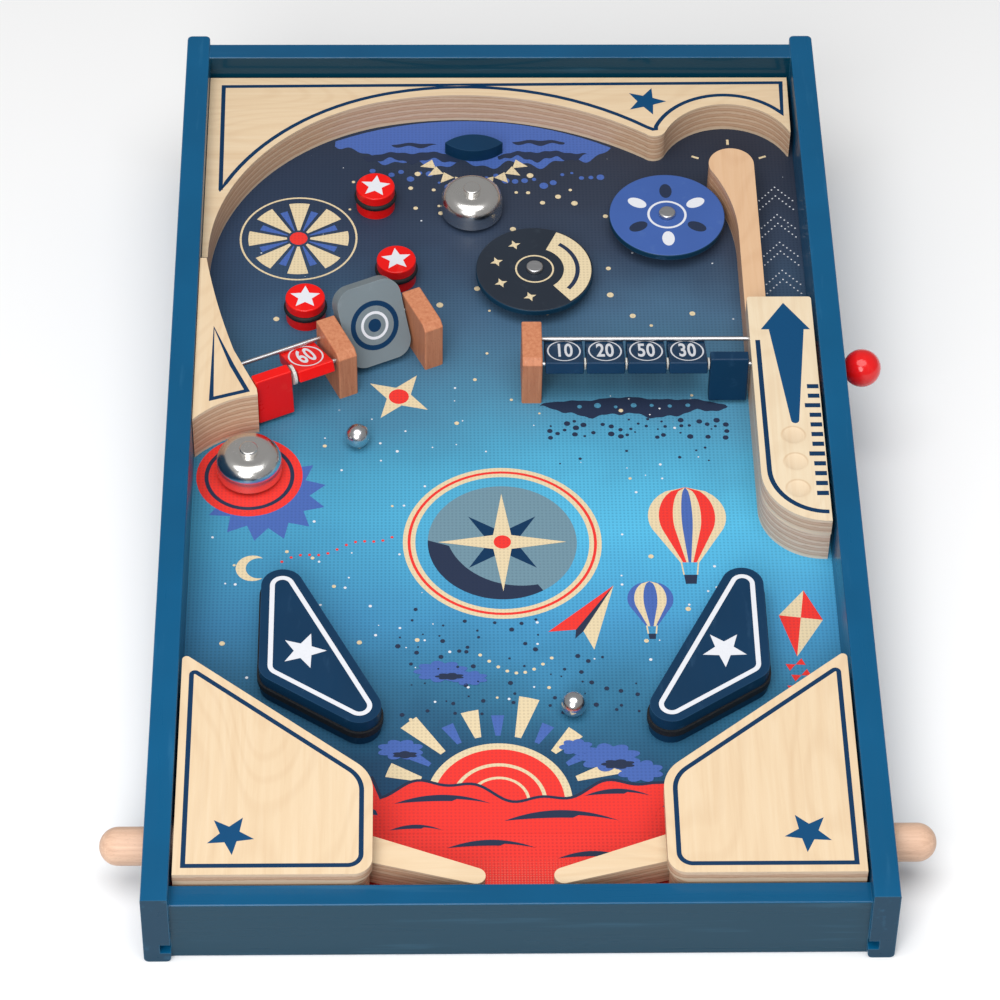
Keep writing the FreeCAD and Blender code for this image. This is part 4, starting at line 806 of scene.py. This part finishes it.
def corner_prints():
    """Border and star on both corner covers."""
    line = rounded([(-148.6, -150.5, 1.5), (-148.6, -261.3, 0), (-70.2, -261.3, 6.0), (-70.2, -213.0, 15.0)])
    star = star_points(-128.3, -244.6, CORNER_STAR, -12)
    for side, facing in SIDES.items():
        board_print("corner_border_" + side, "navy", stroke(facing(line), BORDER_WIDTH), COVER_TOP)
        board_print("corner_star_" + side, "blue", [facing(star)], COVER_TOP)


def sling_prints():
    """Border and star on both slingshots."""
    line = hull_points([(-108.7, -90.3), (-108.7, -138.5), (-71.8, -162.6)], 4.7)
    stars = {"left": star_points(-98.0, -130.0, BOARD_STAR, 0),
             "right": star_points(98.0, -130.0, BOARD_STAR, -90)}
    for side, facing in SIDES.items():
        board_print("sling_border_" + side, "white", stroke(facing(line), SLING_BORDER_WIDTH), SLING_TOP)
        board_print("sling_star_" + side, "white", [stars[side]], SLING_TOP)


def bumper_prints():
    """Star on each bumper, each turned a little differently."""
    for name, degrees in {"back": 84, "middle": 96, "front": 90}.items():
        star = star_points(*middle("bumper_" + name), BUMPER_STAR, degrees, waist=0.45)
        board_print("bumper_star_" + name, "white", [star], BUMPER_TOP)


def tile_prints():
    """Ringed number on each score tile; the end and the red tile hang and the others are flipped up."""
    ring = stroke(ring_points(0, 0, 8.0, 48, 1.42), 0.8)
    for name, number in TILE_NUMBERS.items():
        pivot, turn = hinge("tile_%s_flip" % name)
        hanging = -math.atan(math.tan(SLOPE) * math.cos(turn))
        swing = hanging if name in HANGING_TILES else TILE_SWING
        face = (pivot @ Matrix.Rotation(swing, 4, "X")
                @ Matrix.Translation((0, TILE_HALF_THICKNESS, -TILE_FACE_DROP))
                @ Matrix.Rotation(-math.pi / 2, 4, "X"))
        number_print("number_" + name, number, face, "tile_" + name)
        flat_print("number_ring_" + name, ring, face, "tile_" + name, "white")


def target_prints():
    """Plain rings round a centre on the swing target."""
    pivot, _ = hinge("target_swing")
    face = (pivot @ Matrix.Rotation(TARGET_LEAN, 4, "X")
            @ Matrix.Translation((0, -TARGET_RINGS_DROP, TARGET_HALF_THICKNESS)))
    flat_print("target_ring_outer", stroke(ring_points(0, 0, 11.5), 2.6), face, "target", "navy")
    flat_print("target_ring_inner", stroke(ring_points(0, 0, 6.6), 1.4), face, "target", "white")
    flat_print("target_centre", [ring_points(0, 0, 3.4)], face, "target", "navy")


def right_disc_prints():
    """Ring and six petals, white and dark by turns, on the right disc."""
    centre = middle("spinner_disc_right")
    board_print("disc_right_rings", "white", stroke(ring_points(*centre, 9.6), 1.2), DISC_TOP, "disc_right")
    petals = []
    for degrees in range(30, 360, 60):
        petals.append(ring_points(*polar(centre, 17.5, degrees), 5.2, 24, 0.62, degrees))
    board_print("disc_right_petals", "white", petals[::2], DISC_TOP, "disc_right")
    board_print("disc_right_petals_dark", "dark", petals[1::2], DISC_TOP, "disc_right")


def centre_disc_prints():
    """Sector with a dark stripe, ring and four sparks on the centre disc."""
    centre = middle("spinner_disc_centre")
    sector = arc_points(centre, 29.0, -52, 66) + arc_points(centre, 15.0, 66, -52)
    board_print("disc_centre_sector", "cream", [sector], DISC_TOP, "disc_centre")
    stripe = stroke(arc_points(centre, 22.0, -40, 54), 2.2, closed=False)
    board_print("disc_centre_marks", "dark", stripe, DISC_TOP, "disc_centre", 1)
    sparks = [star_points(*polar(centre, 20, degrees), 3.4, 20, 4, 0.4) for degrees in (120, 165, 210, 262)]
    sparks += stroke(ring_points(*centre, 9.5), 0.9)
    board_print("disc_centre_sparks", "cream", sparks, DISC_TOP, "disc_centre")


# ---------------- playfield artwork
# Centres of the motifs, as (u, v).
COMPASS = (-4.0, -50.0)
SUNRISE = (-8.0, -206.0)
BIG_BALLOON = (86.0, -34.0)
SMALL_BALLOON = (66.0, -86.0)
DART = (36.0, -98.0)
KITE = (137.0, -98.0)
SPARK = (-54.0, 46.0)
PINWHEEL = (-106.0, 158.0)
BUNTING = (-14.5, 218.0)
BELL_PAD = (-127.0, -7.0)
LANE_HEAD = (120.5, 210.5)
BIG_RADIUS = 19.0
SMALL_RADIUS = 11.0


def field_art(name, color, loops, layer=0):
    """Print on the panel; a higher layer lies over a lower one."""
    flat_print("art_" + name, loops, at_height(0.0), "case", color, layer)


def compass():
    """Compass rose on a grey disc inside a cream band."""
    field_art("compass_band", "cream", stroke(ring_points(*COMPASS, 45.0, 72), 6.0))
    field_art("compass_band_line", "red", stroke(ring_points(*COMPASS, 45.0, 72), 1.4), 1)
    field_art("compass_disc", "grey", [ring_points(*COMPASS, 36.0, 64)])
    shade = arc_points(COMPASS, 36.0, 178, 302) + arc_points((5.0, -41.0), 36.5, 282, 198)
    field_art("compass_shade", "dark", [shade], 1)
    field_art("compass_rose", "cream", [star_points(*COMPASS, 31.0, 90, 4, 0.2)], 3)
    field_art("compass_rose_back", "navy", [star_points(*COMPASS, 23.0, 45, 4, 0.28)], 2)
    field_art("compass_core", "red", [ring_points(*COMPASS, 4.2, 24)], 4)


def sun():
    """Rising sun with two bands and with rays in two colours."""
    field_art("sun_ring", "cream", [arc_points(SUNRISE, 33.5, 0, 180)])
    field_art("sun", "red", [arc_points(SUNRISE, 30.0, 0, 180)], 1)
    bands = stroke(arc_points(SUNRISE, 21.0, 4, 176), 1.8, closed=False)
    bands += stroke(arc_points(SUNRISE, 13.5, 4, 176), 1.4, closed=False)
    field_art("sun_bands", "cream", bands, 2)
    long_rays = [wedge(SUNRISE, 38, 62 - 8 * (index % 2), 20 + 28 * index, 9) for index in range(6)]
    field_art("sun_rays_cream", "cream", long_rays)
    field_art("sun_rays_peri", "peri", [wedge(SUNRISE, 38, 50, 34 + 28 * index, 7) for index in range(5)])


def dunes():
    """Red dunes under a dark skyline; each crest, as (u, v, half length, height), has a dark shade."""
    crest_line = []
    for index in range(61):
        u = -62 + 124 * index / 60
        crest_line.append((u, -200 + sway(u, [(5.5, 88, -58), (2.0, 29, 4)])))
    skyline = [(-84.0, -195.0), (-66.0, -192.0)] + crest_line + [(84.0, -195.0)]
    foot = [(64.0, -211.0), (60.0, -224.0), (-60.0, -224.0), (-64.0, -211.0)]
    field_art("dunes", "red", [skyline + foot], 3)
    field_art("dune_line", "dark", stroke(skyline, 1.5, closed=False), 4)
    crests = [(-34, -207, 22, 5.0), (20, -217, 26, 6.0), (-12, -232, 20, 4.5), (46, -203, 15, 4.0),
              (34, -238, 16, 4.0), (-46, -222, 12, 3.2)]
    shades = []
    for u, v, half, height in crests:
        back_side, front_side = [], []
        for step in range(-10, 11):
            rise = height * (1 - (step / 10) ** 2)
            back_side.append((u + half * step / 10, v + rise))
            front_side.append((u + half * step / 10, v + 0.35 * rise * (1.6 if step > 2 else 0.8)))
        shades.append(back_side + front_side[::-1])
    field_art("dune_shades", "dark", shades, 4)


def clouds():
    """Three clouds of two puffs each, with a dark shade."""
    field_art("clouds", "peri", [cloud_points(43, -181, 15, 9, 0.55), cloud_points(-53, -176, 11, 8, 0.55),
                                 cloud_points(-34, -130, 13, 9, 0.5)], 5)
    field_art("clouds_low", "peri", [cloud_points(57, -189, 11, 8, 0.6), cloud_points(28, -175, 8, 7, 0.6),
                                     cloud_points(-21, -134, 9, 8, 0.5)], 6)
    shades = [cloud_points(47, -185, 8, 7, 0.35), cloud_points(-51, -179, 6, 6, 0.35),
              cloud_points(-30, -133, 7, 7, 0.3)]
    field_art("cloud_shades", "dark", shades, 7)


def striped_balloon(name, color, stripe_color, centre, radius, inner, outer):
    """Balloon with a stripe on each side, between two shares of its half width."""
    field_art(name, color, [gore(centre, radius, -1.0, 1.0)])
    stripes = [gore(centre, radius, -outer, -inner), gore(centre, radius, inner, outer)]
    field_art(name + "_stripes", stripe_color, stripes, 1)


def balloons():
    """Two striped balloons with their baskets and ropes."""
    striped_balloon("balloon_big", "cream", "red", BIG_BALLOON, BIG_RADIUS, 0.36, 0.72)
    field_art("balloon_big_middle", "peri", [gore(BIG_BALLOON, BIG_RADIUS, -0.14, 0.14)], 1)
    striped_balloon("balloon_small", "peri", "cream", SMALL_BALLOON, SMALL_RADIUS, 0.3, 0.7)
    baskets, ropes = [], []
    for (u, v), radius in ((BIG_BALLOON, BIG_RADIUS), (SMALL_BALLOON, SMALL_RADIUS)):
        half, rim_v = 0.17 * radius, v - 1.95 * radius
        foot_v = rim_v - 0.3 * radius
        baskets.append([(u - half, rim_v), (u + half, rim_v),
                        (u + 0.8 * half, foot_v), (u - 0.8 * half, foot_v)])
        for side in (-1, 1):
            rope = [(u + side * 0.22 * radius, v - 1.5 * radius), (u + side * half, rim_v)]
            ropes += stroke(rope, 0.7, closed=False)
    field_art("baskets", "dark", baskets)
    field_art("basket_ropes", "cream", ropes, 1)


def paper_dart():
    """Folded paper dart with a dotted trail."""
    field_art("dart_wing_light", "cream", [turned([(24, 0), (-15, -12), (-8, -2)], DART, 58)], 1)
    field_art("dart_wing", "red", [turned([(24, 0), (-9, 1.5), (-17, 12)], DART, 58)], 1)
    field_art("dart_fold", "dark", [turned([(24, 0), (-8, -2), (-14, -1), (-9, 1.5)], DART, 58)], 2)
    trail = [ring_points(18 - 4.2 * index, -122 - 9 * math.sin(0.42 * index), 0.9, 10) for index in range(9)]
    field_art("dart_trail", "cream", trail)


def kite():
    """Kite with two red patches and three bows on its tail."""
    field_art("kite", "cream", [turned([(0, 17), (10.5, 0), (0, -24), (-10.5, 0)], KITE, -8)])
    field_art("kite_patches", "red", [turned([(0, 17), (10.5, 0), (0, 0)], KITE, -8),
                                      turned([(0, 0), (0, -24), (-10.5, 0)], KITE, -8)], 1)
    bows = []
    for index in range(3):
        knot = (132.6 + 2.2 * (index % 2), -126.5 - 6.5 * index)
        for half in (4.2, -4.2):
            bows.append(turned([(0, 0), (half, 2.2), (half, -2.2)], knot, 24))
    field_art("kite_bows", "red", bows)


def small_motifs():
    """Four-pointed spark, crescent and dotted path on the left of the field."""
    field_art("spark_left", "cream", [star_points(*SPARK, 17, 58, 4, 0.36)])
    field_art("spark_left_core", "red", [ring_points(*SPARK, 5.0, 24)], 1)
    crescent = arc_points((-124, -66), 8.0, 60, 300) + arc_points((-120.8, -66), 6.4, 285, 75)
    field_art("crescent", "cream", [crescent])
    path = [ring_points(-110 + 4.4 * index, -62 + 1.35 * index + 1.6 * math.sin(index), 0.75, 10)
            for index in range(13)]
    field_art("dotted_path", "red", path)


def pinwheel():
    """Pinwheel of eight broad and eight narrow vanes in a ring."""
    field_art("pinwheel_light", "cream", [wedge(PINWHEEL, 6, 26, 45 * index, 24) for index in range(8)])
    field_art("pinwheel_blue", "peri", [wedge(PINWHEEL, 6, 21, 22.5 + 45 * index, 11) for index in range(8)])
    field_art("pinwheel_core", "red", [ring_points(*PINWHEEL, 4.6, 24)], 1)
    field_art("pinwheel_ring", "cream", stroke(ring_points(*PINWHEEL, 30.0, 60), 1.0))


def far_shore():
    """Shore along the arch, with dark bands on it and drops in front of it."""
    near_side = []
    for index in range(121):
        u = 58.0 - 146.0 * index / 120
        near_side.append((u, 213.0 + 15.0 * ((u + 11.0) / 74.0) ** 4 + 2.4 * math.sin(u / 4.3)
                          + 1.4 * math.sin(u / 1.9)))
    field_art("far_shore", "peri", [arc_points(ARCH_CENTRE, 156.6, 115.8, 60.3) + near_side])
    field_art("far_shore_shade", "dark", [drift_band(-74, -14, 219, 6.5, [(1.8, 21, 0), (0.8, 8, 3)]),
                                          drift_band(-2, 46, 220, 6.0, [(1.8, 19, 4), (0.8, 7, 0)]),
                                          drift_band(-58, -34, 228, 3.0, [(1.0, 13, 0)]),
                                          drift_band(6, 34, 230, 3.4, [(1.0, 12, 0)])], 1)
    drops = []
    for u in range(-68, 54, 5):
        v = 205 + 0.0022 * (u + 8) ** 2 - chance.uniform(0, 10)
        drops.append(ring_points(u, v, chance.uniform(0.7, 2.3), 16))
    field_art("far_drops", "peri", drops)


def back_sky():
    """Bunting that hangs in front of the far shore, and dots round it."""
    flags = []
    for index in range(9):
        degrees = 196 + 18.5 * index
        angle = math.radians(degrees)
        knot = (BUNTING[0] + 22 * math.cos(angle), BUNTING[1] + 16 * math.sin(angle))
        flags.append(turned([(0, 3.4), (7.5, 0), (0, -3.4)], knot, degrees))
    field_art("bunting", "cream", flags, 2)
    dots = scatter((-122, 60), (104, 208), 18.5, 0.7, 1.8, 0.42, [(*PINWHEEL, 32)])
    dots += scatter((-50, 178), (40, 208), 7.5, 0.6, 1.8, 0.4, [(*BUNTING, 26)])
    field_art("sky_dots", "cream", dots, 3)


def bell_pad():
    """Round pad under the front bell, on a burst of points."""
    field_art("bell_burst", "peri", [star_points(-119, -19, 30, 12, 13, 0.72)])
    field_art("bell_pad", "red", [ring_points(*BELL_PAD, 26, 56)], 1)
    field_art("bell_pad_line", "dark", stroke(ring_points(*BELL_PAD, 21.0, 56), 2.0), 2)


def bar_shade():
    """Dark drift with holes in front of the right score bar, thinning out in specks."""
    holes = []
    for u in range(36, 96, 9):
        v = 39.2 + chance.uniform(-0.7, 0.7)
        holes.append(ring_points(u, v, chance.uniform(0.8, 1.9), 14))
    drift = drift_band(16, 110, 38.6, 12.0, [(1.6, 37, 12), (0.8, 15, 0), (0.4, 7, 2)])
    field_art("bar_shade", "dark", [drift] + holes)
    specks = scatter((18, 16), (112, 32), 4.4, 0.5, 1.7, 0.66)
    specks += scatter((24, -2), (108, 14), 6.5, 0.4, 1.0, 0.45)
    field_art("bar_specks", "dark", specks)


def lane_marks():
    """Three dashes round the head of the lane divider and dotted chevrons up the lane."""
    dashes = []
    for degrees in (24, 90, 156):
        ends = [polar(LANE_HEAD, 17.5, degrees), polar(LANE_HEAD, 21.5, degrees)]
        dashes += stroke(ends, 1.3, closed=False)
    field_art("lane_dashes", "cream", dashes)
    chevrons = []
    for row in range(4):
        for step in (0.0, 6.5):
            peak = 195.5 - 20.5 * row - step
            for side in (-1, 1):
                for index in range(side < 0, 6):
                    chevrons.append(ring_points(143.4 + 1.75 * side * index, peak - 2.0 * index, 0.45, 8))
    field_art("lane_chevrons", "white", chevrons)


def specks():
    """Small dots between the motifs; each motif's circle, as (u, v, radius), is kept clear."""
    motifs = [(*COMPASS, 50.0), (*DART, 23.0), (*BIG_BALLOON, 27.0), (*SMALL_BALLOON, 15.0), (*KITE, 22.0),
              (*SPARK, 17.0), (-122.0, -12.0, 34.0)]
    field_art("specks_light", "white", scatter((-148, -158), (118, 60), 13, 0.25, 0.8, 0.4, motifs), 4)
    field_art("specks_warm", "cream", scatter((-140, -160), (112, 60), 21, 0.6, 1.4, 0.45, motifs), 5)
    field_art("specks_dark", "dark", scatter((-56, -158), (62, -92), 6.4, 0.4, 1.3, 0.42, motifs), 6)


# ---------------- sprung pieces and the launcher cover
def node_copy(node, name):
    """Free mesh copy of a node, its doubles merged."""
    made = frame["nodes"][node].copy()
    made.data = made.data.copy()
    bpy.context.collection.objects.link(made)
    made.parent = None
    made.matrix_world = Matrix.Identity(4)
    made.name = made.data.name = name
    only(made)
    bpy.ops.object.mode_set(mode="EDIT")
    bpy.ops.mesh.select_all(action="SELECT")
    bpy.ops.mesh.remove_doubles(threshold=0.000001)
    bpy.ops.object.mode_set(mode="OBJECT")
    return made


def coil_spring(side):
    """Copy of a dowel's coil spring, riding the case in place of its node."""
    node = "dowel_spring_" + side
    coil = node_copy(node, "coil_spring_" + side)
    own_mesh(coil)
    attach(coil, "case")
    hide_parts(node)


def elastic_loop():
    """Copy of the launcher elastic in place of its node, its place baked into the mesh."""
    loop = node_copy("launcher_elastic", "elastic_loop")
    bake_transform(loop)
    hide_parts("launcher_elastic")


def launcher_board():
    """Launcher cover whose finger dimples are worn shallow."""
    board = node_copy("launcher_cover", "launcher_cover_board")
    underside = reach("launcher_cover")[0].z
    for vertex in board.data.vertices:
        place = TO_FIELD @ vertex.co
        in_row = (abs(place.x - DIMPLE_U) < DIMPLE_REACH
                  and abs(place.y - DIMPLE_V) < DIMPLE_PITCH + DIMPLE_REACH)
        if in_row and underside + 0.01 < place.z < LAUNCHER_TOP - 0.01:
            place.z = LAUNCHER_TOP - DIMPLE_WEAR * (LAUNCHER_TOP - place.z)
            vertex.co = FIELD @ place
    bpy.ops.mesh.customdata_custom_splitnormals_clear()
    bpy.ops.object.shade_smooth_by_angle(angle=math.radians(14))
    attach(board, "case")
    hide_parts("launcher_cover")


# ---------------- floor, light and camera
def studio_floor():
    bpy.ops.object.select_all(action="DESELECT")
    bpy.ops.mesh.primitive_plane_add(size=9.0, location=(0, 0, 0))
    floor = bpy.context.object
    floor.name = "floor"
    finish = Finish("floor_white", (0.92, 0.92, 0.92, 1), 0.9, specular=0.1)
    floor.data.materials.append(finish.material)


def studio_world():
    world = bpy.data.worlds.new("studio")
    world.use_nodes = True
    background = world.node_tree.nodes["Background"]
    background.inputs["Color"].default_value = (1.0, 1.0, 1.0, 1.0)
    background.inputs["Strength"].default_value = 0.30
    bpy.context.scene.world = world
    bpy.context.scene.view_settings.view_transform = "Standard"


def softbox(name, place, size, power):
    """Oval area lamp that looks at the middle of the game."""
    bpy.ops.object.light_add(type="AREA", location=place)
    lamp = bpy.context.object
    lamp.name = name
    lamp.data.shape = "ELLIPSE"
    lamp.data.size, lamp.data.size_y = size
    lamp.data.energy = power
    aim = Vector((0, 0, 0.05)) - Vector(place)
    lamp.rotation_euler = aim.to_track_quat("-Z", "Y").to_euler()


def camera():
    """Camera with a long lens, in front of the game and above it."""
    bpy.ops.object.camera_add(location=(-0.04445, -1.37364, 1.30401))
    made = bpy.context.object
    made.rotation_euler = [math.radians(degrees) for degrees in (46.8787, -0.7040, -1.0243)]
    made.data.sensor_width = 36.0
    made.data.lens = 137.088
    bpy.context.scene.camera = made


# ---------------- the whole
# The functions that draw random numbers keep this order.
arch_prints()
guide_print()
launcher_prints()
corner_prints()
sling_prints()
bumper_prints()
tile_prints()
target_prints()
right_disc_prints()
centre_disc_prints()
compass()
sun()
dunes()
clouds()
balloons()
paper_dart()
kite()
small_motifs()
pinwheel()
far_shore()
back_sky()
bell_pad()
bar_shade()
lane_marks()
specks()
coil_spring("left")
coil_spring("right")
elastic_loop()
launcher_board()
studio_floor()
studio_world()
softbox("overhead_light", (-0.1, -0.55, 2.0), (2.2, 1.6), 32.0)
softbox("front_light", (-0.5, -1.9, 1.3), (1.4, 1.4), 30.0)
camera()
